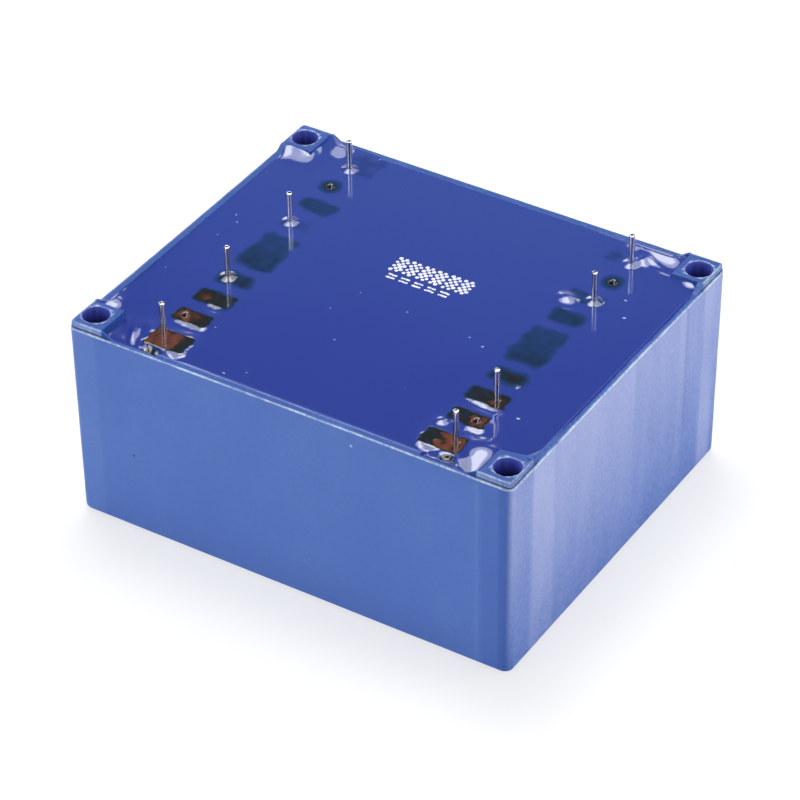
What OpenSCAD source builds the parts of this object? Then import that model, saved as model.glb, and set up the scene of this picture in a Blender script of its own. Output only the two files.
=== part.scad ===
// Potted mains transformer for a printed circuit board.
//
// A moulded case, open on its pin side, holds two coil formers cast in resin.
// Each former has a comb of terminal blocks at its left and at its right end,
// and round solder pins stand in some of the blocks. Four pads at the corners
// of the rim seat the board, and each has a blind hole for a screw.
//
// Frame: the origin is the centre of the closed face that the case rests on,
// +X runs along the case's length, +Y along its width, +Z towards the pins.

/* [Case] */
// Length of the case along X, outside, at the rim
case_l = 68; // [60:0.5:84]
// Width of the case along Y, outside, at the rim
case_w = 57; // [56:0.5:70]
// Height of the rim above the closed face
rim_h = 30.5; // [22:0.5:40]
// Thickness of the side walls at the rim
wall_t = 1.2; // [0.9:0.1:1.6]
// Thickness of the closed face
floor_t = 1.5; // [1:0.1:3]
// How far each side wall leans in between the rim and the closed face
draft = 0.23; // [0:0.01:0.3]
// Radius of the four upright corners
corner_r = 1.2; // [0.5:0.1:2.5]
// Radius of the edge round the closed face
base_edge_r = 0.8; // [0.3:0.1:1.5]

/* [Corner pads] */
// Length of a pad along X, from the case's outer face to the pad's inner edge
pad_l = 5.2; // [4.8:0.1:7]
// Width of a pad along Y, from the case's outer face to the pad's inner edge
pad_w = 5.9; // [5.5:0.1:7.5]
// Height of a pad's seat above the rim
pad_h = 0.9; // [0.3:0.1:2]
// Step between a pad's sides and the case's outer faces
pad_step = 0.3; // [0.1:0.05:0.4]
// Diameter of the blind screw hole in a pad
screw_hole_d = 3.8; // [2.5:0.1:3.9]
// Depth of the screw hole below the seat
screw_hole_depth = 9; // [4:0.5:15]
// Distance of a screw hole's axis from the case's outer face, along X
screw_inset_x = 2.45; // [2.4:0.05:2.7]
// Distance of a screw hole's axis from the case's outer face, along Y
screw_inset_y = 3.2; // [2.6:0.05:3.4]

/* [Rim relief] */
// Length of the thinned stretch of the rim beside each pad, along X
relief_l = 8.6; // [4:0.2:9]
// How much thinner the wall is there
relief_t = 0.5; // [0.2:0.05:0.7]
// How far the relief reaches down from the rim
relief_depth = 2; // [1:0.5:4]

/* [Resin] */
// How far the resin stands below the rim
resin_drop = 0.35; // [0.1:0.05:0.8]

/* [Terminals] */
// Distance between the two rows of pins, along X
row_pitch = 45; // [38:0.5:54]
// Distance between neighbouring places in a row, along Y
raster = 5.08; // [4.2:0.01:5.3]
// Reach of a terminal block from its row's axis towards the outside
block_out = 1.4; // [1.2:0.1:1.8]
// Reach of a terminal block from its row's axis towards the middle
block_in = 4.2; // [2.5:0.1:6]
// Width of a block between the ends of a comb, along Y
block_w = 3; // [2:0.1:4]
// Height of the blocks above the bar that joins them
block_h = 2.5; // [2:0.1:4]
// How far the comb's bar reaches past its pin holes, towards the middle
bar_cover = 0.3; // [0.1:0.05:1]
// Height of the comb's bar
bar_h = 4; // [3:0.5:8]
// Gap between the front and the rear coil former, along Y
former_gap = 0.6; // [0.2:0.1:1]
// Gap between a coil former's end and the case's wall
former_clearance = 0.1; // [0.05:0.05:0.3]
// Reach of a former's end block past its place, where the formers meet
inner_block_reach = 1.75; // [1:0.05:2]
// Reach of a former's end block past its place, beside the case's wall
outer_block_reach = 1.1; // [0.8:0.05:1.3]

/* [Pins] */
// Diameter of a pin
pin_d = 0.8; // [0.6:0.05:0.85]
// Size across the corners of a pin's root, which is coined square
pin_root_d = 0.9; // [0.8:0.02:1.1]
// Height of the pins' tips above the seats of the pads
pin_stand = 3.75; // [2.5:0.25:6]
// Depth to which a pin is set into its comb
pin_root = 4; // [2:0.1:4.9]
// Height of the root's shoulder above the comb
pin_shoulder = 0.15; // [0.1:0.05:0.3]
// Gap between the corners of a pin's root and the wall of its hole
pin_fit = 0.02; // [0.01:0.01:0.05]
// Length of the bevel on a pin's tip
pin_bevel = 0.12; // [0.05:0.01:0.2]

/* [Hidden] */
$fn = 48;

// Places in a row, counted from the front wall to the rear wall.
places = 10;
places_per_former = places / 2;
// Places that hold a pin, front to rear, in the left and in the right row.
left_pin_places = [0, 3, 6, 9];
right_pin_places = [0, 2, 7, 9];

// Heights above the closed face.
resin_z = rim_h - resin_drop;
seat_z = rim_h + pad_h;
pin_tip_z = seat_z + pin_stand;
bar_top_z = resin_z - block_h;

// Radius of a terminal hole, and thickness of the bar that the holes run into.
terminal_r = pin_root_d / 2 + pin_fit;
bar_t = block_out + terminal_r + bar_cover;

// Half lengths of the case at its rim and at its closed face.
half_l = case_l / 2;
half_w = case_w / 2;

// Y of the two ends of the front former; the rear one mirrors it.
former_outer_y = -(half_w - wall_t - former_clearance);
former_inner_y = -former_gap / 2;

// How far a cutter runs past the face that it opens.
past = 1;

case_colour = [0.20, 0.30, 0.66];
resin_colour = [0.14, 0.20, 0.60];
former_colour = [0.36, 0.18, 0.11];
pin_colour = [0.72, 0.71, 0.69];

// Y of a place in a row.
function place_y(place) = (place - (places - 1) / 2) * raster;

// Side view of the case: walls that lean in towards the closed face, whose
// edge is rounded.
module leaning_profile(half) {
    base_half = half - draft;
    polygon([
        [-(base_half - base_edge_r), 0], [base_half - base_edge_r, 0],
        [base_half, base_edge_r], [half, rim_h],
        [-half, rim_h], [-base_half, base_edge_r]
    ]);
    for (side = [-1, 1])
        translate([side * (base_half - base_edge_r), base_edge_r])
            circle(r = base_edge_r);
}

// Plan view of a rectangle with round corners.
module rounded_plan(length, width, r) {
    square([length - 2 * r, width], center = true);
    square([length, width - 2 * r], center = true);
    for (sx = [-1, 1], sy = [-1, 1])
        translate([sx * (length / 2 - r), sy * (width / 2 - r)])
            circle(r = r);
}

// The case's outer form up to its rim.
module case_block() {
    intersection() {
        linear_extrude(rim_h) rounded_plan(case_l, case_w, corner_r);
        rotate([90, 0, 0])
            linear_extrude(case_w + 2 * past, center = true)
                leaning_profile(half_l);
        rotate([90, 0, 90])
            linear_extrude(case_l + 2 * past, center = true)
                leaning_profile(half_w);
    }
}

// Whatever is drawn for the front left corner, repeated at all four.
module at_corners() {
    children();
    mirror([1, 0, 0]) children();
    mirror([0, 1, 0]) children();
    mirror([1, 0, 0]) mirror([0, 1, 0]) children();
}

// The column at the front left corner that carries a pad, from z to z + h.
module corner_column(z, h) {
    translate([-half_l, -half_w, z]) cube([pad_l, pad_w, h]);
}

// The pad on the front left corner of the rim, stepped in from the outer faces.
module corner_pad() {
    intersection() {
        corner_column(rim_h, pad_h);
        translate([0, 0, rim_h])
            linear_extrude(pad_h)
                rounded_plan(case_l - 2 * pad_step, case_w - 2 * pad_step, corner_r);
    }
}

// The thinned stretch of the front wall beside the front left pad.
module rim_relief() {
    translate([-half_l + pad_l, -half_w + wall_t - relief_t, rim_h - relief_depth])
        cube([relief_l, relief_t, relief_depth]);
}

// The hollow of the case up to the height top: the box between the walls
// without the corner columns, with the reliefs beside them.
module case_hollow(top) {
    difference() {
        translate([-half_l + wall_t, -half_w + wall_t, floor_t])
            cube([case_l - 2 * wall_t, case_w - 2 * wall_t, top - floor_t]);
        at_corners() corner_column(0, top + past);
    }
    intersection() {
        at_corners() rim_relief();
        translate([-half_l, -half_w, 0]) cube([case_l, case_w, top]);
    }
}

// The blind screw hole of the front left corner.
module screw_hole() {
    translate([-half_l + screw_inset_x, -half_w + screw_inset_y, seat_z - screw_hole_depth])
        cylinder(d = screw_hole_d, h = screw_hole_depth + past);
}

// The moulded cup with its four corner columns and pads.
module case() {
    color(case_colour)
        difference() {
            union() {
                difference() {
                    case_block();
                    case_hollow(rim_h + past);
                }
                at_corners() corner_pad();
            }
            at_corners() screw_hole();
        }
}

// A block of a comb from y0 to y1, in the frame of the left row's axis.
module block(y0, y1) {
    translate([-block_out, y0, bar_top_z])
        cube([block_out + block_in, y1 - y0, block_h]);
}

// The outer form of the front left comb: a bar with five blocks on it.
module comb_form() {
    translate([-row_pitch / 2, 0, 0]) {
        block(former_outer_y, place_y(0) + outer_block_reach);
        for (place = [1 : places_per_former - 2])
            block(place_y(place) - block_w / 2, place_y(place) + block_w / 2);
        block(place_y(places_per_former - 1) - inner_block_reach, former_inner_y);
        translate([-block_out, former_outer_y, bar_top_z - bar_h])
            cube([bar_t, former_inner_y - former_outer_y, bar_h]);
    }
}

// The terminal holes of the left row at the given places.
module terminal_holes(some_places) {
    for (place = some_places)
        translate([-row_pitch / 2, place_y(place), resin_z - pin_root])
            cylinder(r = terminal_r, h = pin_root + past);
}

front_places = [0 : places_per_former - 1];
rear_places = [places_per_former : places - 1];

module front_left_comb() {
    color(former_colour)
        difference() {
            comb_form();
            terminal_holes(front_places);
        }
}

module rear_left_comb() {
    color(former_colour)
        difference() {
            mirror([0, 1, 0]) comb_form();
            terminal_holes(rear_places);
        }
}

module front_right_comb() {
    mirror([1, 0, 0]) front_left_comb();
}

module rear_right_comb() {
    mirror([1, 0, 0]) rear_left_comb();
}

// The cast resin, which fills the hollow round the four combs.
module resin() {
    color(resin_colour)
        difference() {
            case_hollow(resin_z);
            at_corners() comb_form();
        }
}

// A solder pin at a place of the left row (side -1) or the right row (side 1):
// a square root below its shoulder and a round shank above it.
module pin(side, place) {
    shoulder_z = resin_z + pin_shoulder;
    root_side = pin_root_d / sqrt(2);
    color(pin_colour)
        translate([side * row_pitch / 2, place_y(place), 0]) {
            translate([-root_side / 2, -root_side / 2, resin_z - pin_root])
                cube([root_side, root_side, pin_root + pin_shoulder]);
            rotate_extrude()
                polygon([
                    [0, shoulder_z], [pin_d / 2, shoulder_z],
                    [pin_d / 2, pin_tip_z - pin_bevel],
                    [pin_d / 2 - pin_bevel, pin_tip_z], [0, pin_tip_z]
                ]);
        }
}

module left_pin_1() { pin(-1, left_pin_places[0]); }
module left_pin_2() { pin(-1, left_pin_places[1]); }
module left_pin_3() { pin(-1, left_pin_places[2]); }
module left_pin_4() { pin(-1, left_pin_places[3]); }
module right_pin_1() { pin(1, right_pin_places[0]); }
module right_pin_2() { pin(1, right_pin_places[1]); }
module right_pin_3() { pin(1, right_pin_places[2]); }
module right_pin_4() { pin(1, right_pin_places[3]); }

case();
resin();
front_left_comb();
rear_left_comb();
front_right_comb();
rear_right_comb();
left_pin_1();
left_pin_2();
left_pin_3();
left_pin_4();
right_pin_1();
right_pin_2();
right_pin_3();
right_pin_4();
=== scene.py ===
"""Visual model of a potted transformer for a circuit board, pin side up.

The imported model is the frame: one body, called root, with the case, the cast resin, four
combs of terminal blocks and eight solder pins. Each is replaced here by a surface worked
out with numpy. Shapes are worked out in millimetres and put into meshes in metres.
"""
import sys
import logging
import math
from dataclasses import dataclass, field
from enum import Enum
from typing import Any, Iterable, Sequence

import bpy
import numpy as np
from mathutils import Matrix, Vector


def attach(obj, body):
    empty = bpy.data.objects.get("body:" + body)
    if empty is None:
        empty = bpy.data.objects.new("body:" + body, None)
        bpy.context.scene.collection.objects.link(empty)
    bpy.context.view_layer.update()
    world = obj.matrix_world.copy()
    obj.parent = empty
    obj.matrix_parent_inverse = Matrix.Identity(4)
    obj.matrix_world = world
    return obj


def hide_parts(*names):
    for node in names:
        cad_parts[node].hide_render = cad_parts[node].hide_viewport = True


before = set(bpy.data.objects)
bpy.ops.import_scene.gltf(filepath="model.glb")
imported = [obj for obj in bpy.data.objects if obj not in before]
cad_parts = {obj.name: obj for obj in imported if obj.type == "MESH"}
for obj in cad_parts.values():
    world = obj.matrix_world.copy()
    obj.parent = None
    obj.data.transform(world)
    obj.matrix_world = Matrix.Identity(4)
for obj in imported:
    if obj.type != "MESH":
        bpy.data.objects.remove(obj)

logging.basicConfig(level=logging.INFO, format="%(name)s: %(message)s", stream=sys.stdout)
LOG = logging.getLogger("transformer")

MM = 0.001
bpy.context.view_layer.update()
Array = np.ndarray
Colour = tuple[float, float, float, float]
Box = tuple[float, float, float, float]
Pair = tuple[float, float]
TINY = 1e-6


# ---------------------------------------------------------------- numbers and fields

def edge_round(depth: Array, radius: float) -> Array:
    """How far a quarter-round edge lies below its flat.

    A circle of the given radius touches the flat at that depth: the drop is
    r - sqrt(r^2 - (r - d)^2), with d held between 0 and r.

    Args:
        depth: Distance in from the edge.
        radius: Radius of the round.

    Returns:
        The drop, 0 where the depth is at least the radius.
    """
    d = np.clip(depth, 0.0, radius)
    return radius - np.sqrt(np.maximum(radius ** 2 - (radius - d) ** 2, 0.0))


def ease(value: Array, low: float, high: float) -> Array:
    """Smooth step: 3t^2 - 2t^3, where t runs from 0 at low to 1 at high."""
    t = np.clip((value - low) / (high - low), 0.0, 1.0)
    return t * t * (3.0 - 2.0 * t)


def soft_part(value: Array, soft: float) -> Array:
    """Positive part of a value with a soft start: soft ln(1 + exp(value / soft))."""
    return soft * np.log1p(np.exp(np.clip(value / soft, -30.0, 30.0)))


def bell(distance: Array, width: float | Array) -> Array:
    """Bell curve exp(-(d / width)^2)."""
    return np.exp(-(distance / width) ** 2)


def box_distance(x: Array, y: Array, box: Box, radius: float = 0.0) -> Array:
    """Signed distance to a rectangle with round corners, negative inside.

    Args:
        x: Positions along X.
        y: Positions along Y.
        box: The rectangle's lowest X, highest X, lowest Y and highest Y.
        radius: Radius of its corners.

    Returns:
        Distance of each position.
    """
    x0, x1, y0, y1 = box
    dx = np.abs(x - (x0 + x1) / 2) - (x1 - x0) / 2 + radius
    dy = np.abs(y - (y0 + y1) / 2) - (y1 - y0) / 2 + radius
    outside = np.hypot(np.maximum(dx, 0.0), np.maximum(dy, 0.0))
    return outside + np.minimum(np.maximum(dx, dy), 0.0) - radius


def ripple(x: Array, y: Array, length: float, seed: int, waves: int = 9) -> Array:
    """Soft unevenness, as a sum of sine waves that run in seeded directions.

    Each wave is sin(k . p + phase), with its wavelength within half and one and a half
    times the given length. The sum is divided by the root of the number of waves.

    Args:
        x: Positions along X.
        y: Positions along Y.
        length: Middle wavelength.
        seed: Seed of the directions and phases.
        waves: Number of waves.

    Returns:
        Values that mostly lie between -1 and 1.
    """
    rng = np.random.default_rng(seed)
    turn = rng.uniform(0.0, 2.0 * np.pi, waves)
    phase = rng.uniform(0.0, 2.0 * np.pi, waves)
    number = 2.0 * np.pi / (length * rng.uniform(0.5, 1.5, waves))
    flat = np.multiply.outer(x, number * np.cos(turn)) + np.multiply.outer(y, number * np.sin(turn))
    return np.sin(flat + phase).sum(axis=-1) / math.sqrt(waves)


def grid_lines(spans: Iterable[tuple[float, float, float]], extra: Iterable[float] = ()) -> Array:
    """Grid lines that fill stretches evenly, with some single lines added.

    Args:
        spans: Start, end and largest step of each stretch.
        extra: Single lines.

    Returns:
        The lines in order, none closer to the next than a few micrometres.
    """
    parts = [np.linspace(a, b, max(2, int(math.ceil(abs(b - a) / step)) + 1)) for a, b, step in spans]
    lines = np.unique(np.round(np.concatenate(parts + [np.asarray(list(extra), float)]), 5))
    return lines[np.concatenate(([True], np.diff(lines) > 0.003))]


def mirrored(lines: Array) -> Array:
    """Grid lines at plus and minus each given one, in order."""
    return np.unique(np.concatenate([-lines, lines]))


def disc_pull(u: Array, v: Array) -> tuple[Array, Array]:
    """Carries the square from -1 to 1 onto the unit disc: u sqrt(1 - v^2/2), v sqrt(1 - u^2/2)."""
    return u * np.sqrt(1.0 - v * v / 2.0), v * np.sqrt(1.0 - u * u / 2.0)


def ring_warp(x: Array, y: Array, centre: Pair, square: float, reach: float,
              radius: float) -> tuple[Array, Array, Array]:
    """Bends a grid so that one square of its lines becomes a circle.

    Inside the square of half side `square`, points go to the disc of the given radius.
    From there to the square of half side `reach`, they blend back to where they were.

    Args:
        x: Grid positions along X.
        y: Grid positions along Y.
        centre: Centre of the square.
        square: Half side of the square that becomes the circle.
        reach: Half side of the square from which the grid is unchanged.
        radius: Radius of the circle.

    Returns:
        The bent X and Y, and each point's larger offset from the centre in the old grid.
    """
    u, v = x - centre[0], y - centre[1]
    offset = np.maximum(np.abs(u), np.abs(v))
    scale = np.maximum(offset, square)
    disc_x, disc_y = disc_pull(u / scale, v / scale)
    blend = np.clip((offset - square) / (reach - square), 0.0, 1.0)
    keep = offset >= reach
    bent_x = centre[0] + (disc_x * radius * (1.0 - blend) + u * blend)
    bent_y = centre[1] + (disc_y * radius * (1.0 - blend) + v * blend)
    return np.where(keep, x, bent_x), np.where(keep, y, bent_y), offset


def turned(x: Array, y: Array, centre: Pair, degrees: float) -> tuple[Array, Array]:
    """Positions seen from a centre, along and across a direction at an angle from X."""
    c, s = math.cos(math.radians(degrees)), math.sin(math.radians(degrees))
    return (x - centre[0]) * c + (y - centre[1]) * s, (y - centre[1]) * c - (x - centre[0]) * s


def lattice(first: Array, second: Array) -> tuple[Array, Array]:
    """Both coordinates of every point of a grid, the first running along its rows."""
    return tuple(np.meshgrid(first, second, indexing="ij"))


# ---------------------------------------------------------------- meshes

def put_mesh(name: str, points: Array, faces: Array, material: bpy.types.Material,
             values: dict[str, Array] | None = None, sharp: float = 40.0) -> bpy.types.Object:
    """Puts points in millimetres and four-sided faces into a new object in metres.

    Args:
        name: The piece's name.
        points: Array of points, one row each.
        faces: Array of point numbers, four to a row.
        material: The piece's material.
        values: Named numbers, one for each point.
        sharp: Edges that turn by more than this angle, in degrees, stay sharp.

    Returns:
        The new object, linked to the scene.
    """
    mesh = bpy.data.meshes.new(name)
    mesh.vertices.add(len(points))
    mesh.vertices.foreach_set("co", (points * MM).astype(np.float32).ravel())
    mesh.loops.add(faces.size)
    mesh.loops.foreach_set("vertex_index", faces.astype(np.int32).ravel())
    mesh.polygons.add(len(faces))
    mesh.polygons.foreach_set("loop_start", np.arange(0, faces.size, faces.shape[1], dtype=np.int32))
    mesh.polygons.foreach_set("use_smooth", np.ones(len(faces), dtype=bool))
    mesh.update(calc_edges=True)
    mesh.validate()
    mesh.set_sharp_from_angle(angle=math.radians(sharp))
    for key, numbers in (values or {}).items():
        layer = mesh.attributes.new(key, "FLOAT", "POINT")
        layer.data.foreach_set("value", numbers.astype(np.float32).ravel())
    mesh.materials.append(material)
    piece = bpy.data.objects.new(name, mesh)
    bpy.context.scene.collection.objects.link(piece)
    return piece


def report(piece: bpy.types.Object) -> None:
    """Logs a finished piece with its number of faces."""
    LOG.info("%s: %d faces", piece.name, len(piece.data.polygons))


def points_of(x: Array, y: Array, z: Array) -> Array:
    """Points as rows of X, Y and Z."""
    return np.stack([x, y, z], axis=-1).reshape(-1, 3)


def quads_of(*corners: Array) -> Array:
    """Faces as rows of point numbers, from the numbers of each corner."""
    return np.stack(corners, axis=-1).reshape(-1, len(corners))


def tube_faces(rings: int, around: int) -> Array:
    """Faces between rings of points that are stacked along an axis, facing outwards."""
    i, j = lattice(np.arange(rings - 1), np.arange(around))
    a, b = i * around + j, i * around + (j + 1) % around
    return quads_of(a, b, b + around, a + around)


def cell_faces(columns: int, rows: int, mask: Array | None = None) -> Array:
    """Faces of a grid, wound so that they point to +Z.

    Args:
        columns: Number of points along X.
        rows: Number of points along Y.
        mask: Which cells are kept, shape (columns - 1, rows - 1).

    Returns:
        Point numbers of each face; point (i, j) is number i * rows + j.
    """
    i, j = lattice(np.arange(columns - 1), np.arange(rows - 1))
    a = (i * rows + j) if mask is None else (i * rows + j)[mask]
    return quads_of(a, a + rows, a + rows + 1, a + 1)


def slab(x: Array, y: Array, top: Array, bottom: Array, mask: Array) -> tuple[Array, Array, Array]:
    """A closed solid between two height fields over the kept cells of one grid.

    The sides stand wherever a kept cell meets a dropped one or the grid's edge.

    Args:
        x: X of each grid point.
        y: Y of each grid point.
        top: Height of the upper surface at each grid point.
        bottom: Height of the lower surface at each grid point.
        mask: Which cells are kept.

    Returns:
        Points, faces, and the number of the grid point that each point comes from.
    """
    columns, rows = x.shape
    count = columns * rows
    upper = cell_faces(columns, rows, mask)
    lower = upper[:, ::-1] + count
    padded = np.pad(mask, 1)
    sides = []
    for step, shape, here, before in (
            (1, (columns, rows - 1), padded[1:, 1:-1], padded[:-1, 1:-1]),
            (rows, (columns - 1, rows), padded[1:-1, 1:], padded[1:-1, :-1])):
        i, j = lattice(np.arange(shape[0]), np.arange(shape[1]))
        for kept, flip in ((here & ~before, step > 1), (before & ~here, step == 1)):
            a = (i * rows + j)[kept]
            sides.append(wall_quads(a, a + step, count, flip))
    faces = np.concatenate([upper, lower] + sides)
    points = np.concatenate([points_of(x, y, top), points_of(x, y, bottom)])
    used, packed = np.unique(faces, return_inverse=True)
    return points[used], packed.reshape(faces.shape), used % count


def wall_quads(a: Array, b: Array, below: int, flip: bool) -> Array:
    """Upright faces from the edge a to b down to the same points of the lower surface."""
    quads = quads_of(a, b, b + below, a + below)
    return quads[:, ::-1] if flip else quads


def whole_cells(marked: Array) -> Array:
    """Which cells of a grid have all their corners marked."""
    return marked[1:, 1:] & marked[:-1, 1:] & marked[1:, :-1] & marked[:-1, :-1]


def perimeter(columns: int, rows: int) -> Array:
    """Numbers of a grid's outer points, in order and anticlockwise seen from above."""
    return np.concatenate([
        np.arange(columns) * rows, (columns - 1) * rows + np.arange(1, rows),
        np.arange(columns - 2, -1, -1) * rows + rows - 1, np.arange(rows - 2, 0, -1)])


# ---------------------------------------------------------------- shader building

@dataclass(frozen=True)
class Signal:
    """A number that changes over a surface: an output socket with arithmetic."""

    board: "Board"
    socket: bpy.types.NodeSocket

    def _math(self, operation: str, first: Any, second: Any) -> "Signal":
        """Adds a Math node for an operation on two values."""
        return self.board.node("ShaderNodeMath", {"operation": operation}, {0: first, 1: second}).out()

    def __add__(self, other: Any) -> "Signal":
        """The sum."""
        return self._math("ADD", self, other)

    def __radd__(self, other: Any) -> "Signal":
        """The sum, with the number first."""
        return self._math("ADD", other, self)

    def __sub__(self, other: Any) -> "Signal":
        """The difference."""
        return self._math("SUBTRACT", self, other)

    def __rsub__(self, other: Any) -> "Signal":
        """The difference, from a number."""
        return self._math("SUBTRACT", other, self)

    def __mul__(self, other: Any) -> "Signal":
        """The product."""
        return self._math("MULTIPLY", self, other)

    def __rmul__(self, other: Any) -> "Signal":
        """The product, with the number first."""
        return self._math("MULTIPLY", other, self)

    def most(self, other: Any) -> "Signal":
        """The larger of two values."""
        return self._math("MAXIMUM", self, other)

    def least(self, other: Any) -> "Signal":
        """The smaller of two values."""
        return self._math("MINIMUM", self, other)

    def held(self, limit: float = 1.0) -> "Signal":
        """The value, kept between 0 and a limit."""
        return self.most(0.0).least(limit)

    def size(self) -> "Signal":
        """The value without its sign."""
        return self._math("ABSOLUTE", self, 0.0)

    def step(self, low: float, high: float) -> "Signal":
        """A smooth step from 0 at low to 1 at high."""
        return self.board.node("ShaderNodeMapRange", {"interpolation_type": "SMOOTHSTEP"}, {
            "Value": self, "From Min": low, "From Max": high, "To Min": 0.0, "To Max": 1.0}).out()

    def band(self, centre: float, half: float, soft: float) -> "Signal":
        """1 within half of the centre, falling to 0 over the soft width."""
        return 1.0 - (self - centre).size().step(half, half + soft)


@dataclass(frozen=True)
class Made:
    """A node that was added, with easy reach to its outputs."""

    board: "Board"
    node: bpy.types.Node

    def out(self, key: int | str = 0) -> Signal:
        """One of the node's outputs."""
        return Signal(self.board, self.node.outputs[key])


class Board:
    """The node tree of one material or of the world."""

    def __init__(self, tree: bpy.types.NodeTree) -> None:
        """Empties the tree."""
        self.tree = tree
        tree.nodes.clear()

    def node(self, kind: str, settings: dict[str, Any] | None = None,
             sockets: dict[int | str, Any] | None = None) -> Made:
        """Adds a node.

        Args:
            kind: The node's type.
            settings: Its properties, set first; "stops" are a ramp's places and colours.
            sockets: Values or signals of its inputs.

        Returns:
            The node.
        """
        made = self.tree.nodes.new(kind)
        for key, value in (settings or {}).items():
            if key == "stops":
                self._set_stops(made.color_ramp.elements, value)
            else:
                setattr(made, key, value)
        for key, value in (sockets or {}).items():
            if isinstance(value, Signal):
                self.tree.links.new(value.socket, made.inputs[key])
            else:
                made.inputs[key].default_value = value
        return Made(self, made)

    @staticmethod
    def _set_stops(elements: bpy.types.ColorRampElements, stops: Sequence[tuple[float, Colour]]) -> None:
        """Gives a ramp its stops, in place of the two it starts with."""
        elements.remove(elements[-1])
        for number, (place, colour) in enumerate(stops):
            element = elements[0] if number == 0 else elements.new(place)
            element.position = place
            element.color = colour

    def place(self) -> tuple[Signal, Signal, Signal, Signal]:
        """Position in millimetres, as a vector and as X, Y and Z."""
        coordinates = self.node("ShaderNodeTexCoord").out("Object")
        scaled = self.node("ShaderNodeMapping", {"vector_type": "POINT"}, {
            "Vector": coordinates, "Scale": (1 / MM, 1 / MM, 1 / MM)}).out()
        parts = self.node("ShaderNodeSeparateXYZ", None, {0: scaled})
        return scaled, parts.out("X"), parts.out("Y"), parts.out("Z")

    def noise(self, where: Signal, length: float, detail: float = 3.0, rough: float = 0.5,
              stretch: tuple[float, float, float] = (1.0, 1.0, 1.0)) -> Signal:
        """Noise from 0 to 1.

        Args:
            where: Position in millimetres.
            length: Size of its largest features, in millimetres.
            detail: Number of finer layers.
            rough: How strong the finer layers are.
            stretch: Factors on X, Y and Z.

        Returns:
            The noise.
        """
        moved = self.node("ShaderNodeMapping", {"vector_type": "POINT"}, {
            "Vector": where, "Scale": tuple(s / length for s in stretch)}).out()
        return self.node("ShaderNodeTexNoise", {"noise_dimensions": "3D"}, {
            "Vector": moved, "Scale": 1.0, "Detail": detail, "Roughness": rough}).out("Fac")

    def mix(self, factor: Any, first: Any, second: Any) -> Signal:
        """Mixes two colours."""
        return self.node("ShaderNodeMix", {"data_type": "RGBA"}, {0: factor, 6: first, 7: second}).out(2)

    def value(self, name: str) -> Signal:
        """The numbers that the mesh carries under a name."""
        return self.node("ShaderNodeAttribute", {"attribute_name": name}).out("Fac")

    def spots(self, where: Signal, density: float, sizes: Pair, evenness: float = 1.0) -> Signal:
        """1 in scattered round spots, fading to 0 between the two sizes."""
        cells = self.node("ShaderNodeTexVoronoi", {"feature": "F1", "voronoi_dimensions": "3D"}, {
            "Vector": where, "Scale": density, "Randomness": evenness})
        return 1.0 - cells.out("Distance").step(*sizes)

    def ramp(self, factor: Signal, stops: Sequence[tuple[float, Colour]]) -> Signal:
        """A colour read from a ramp of places and colours."""
        return self.node("ShaderNodeValToRGB", {"stops": stops}, {0: factor}).out("Color")

    def bump(self, height: Signal, distance: float, strength: float = 1.0) -> Signal:
        """A Bump node; the distance is in millimetres."""
        return self.node("ShaderNodeBump", None, {
            "Height": height, "Distance": distance * MM, "Strength": strength}).out()

    def finish(self, **sockets: Any) -> None:
        """Adds the Principled shader with these sockets and the output."""
        shader = self.node("ShaderNodeBsdfPrincipled", None, {
            key.replace("_", " "): value for key, value in sockets.items()})
        self.node("ShaderNodeOutputMaterial", None, {"Surface": shader.out()})


def paint(red: float, green: float, blue: float) -> Colour:
    """A colour from screen values of 0 to 255, as the linear colour of a shader."""
    linear = [c / 12.92 if c <= 0.04045 else ((c + 0.055) / 1.055) ** 2.4
              for c in (red / 255, green / 255, blue / 255)]
    return (*linear, 1.0)


def new_board(name: str) -> tuple[bpy.types.Material, Board]:
    """A new material and the board of its nodes."""
    material = bpy.data.materials.new(name)
    material.use_nodes = True
    return material, Board(material.node_tree)


# ---------------------------------------------------------------- sizes shared by the pieces

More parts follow.
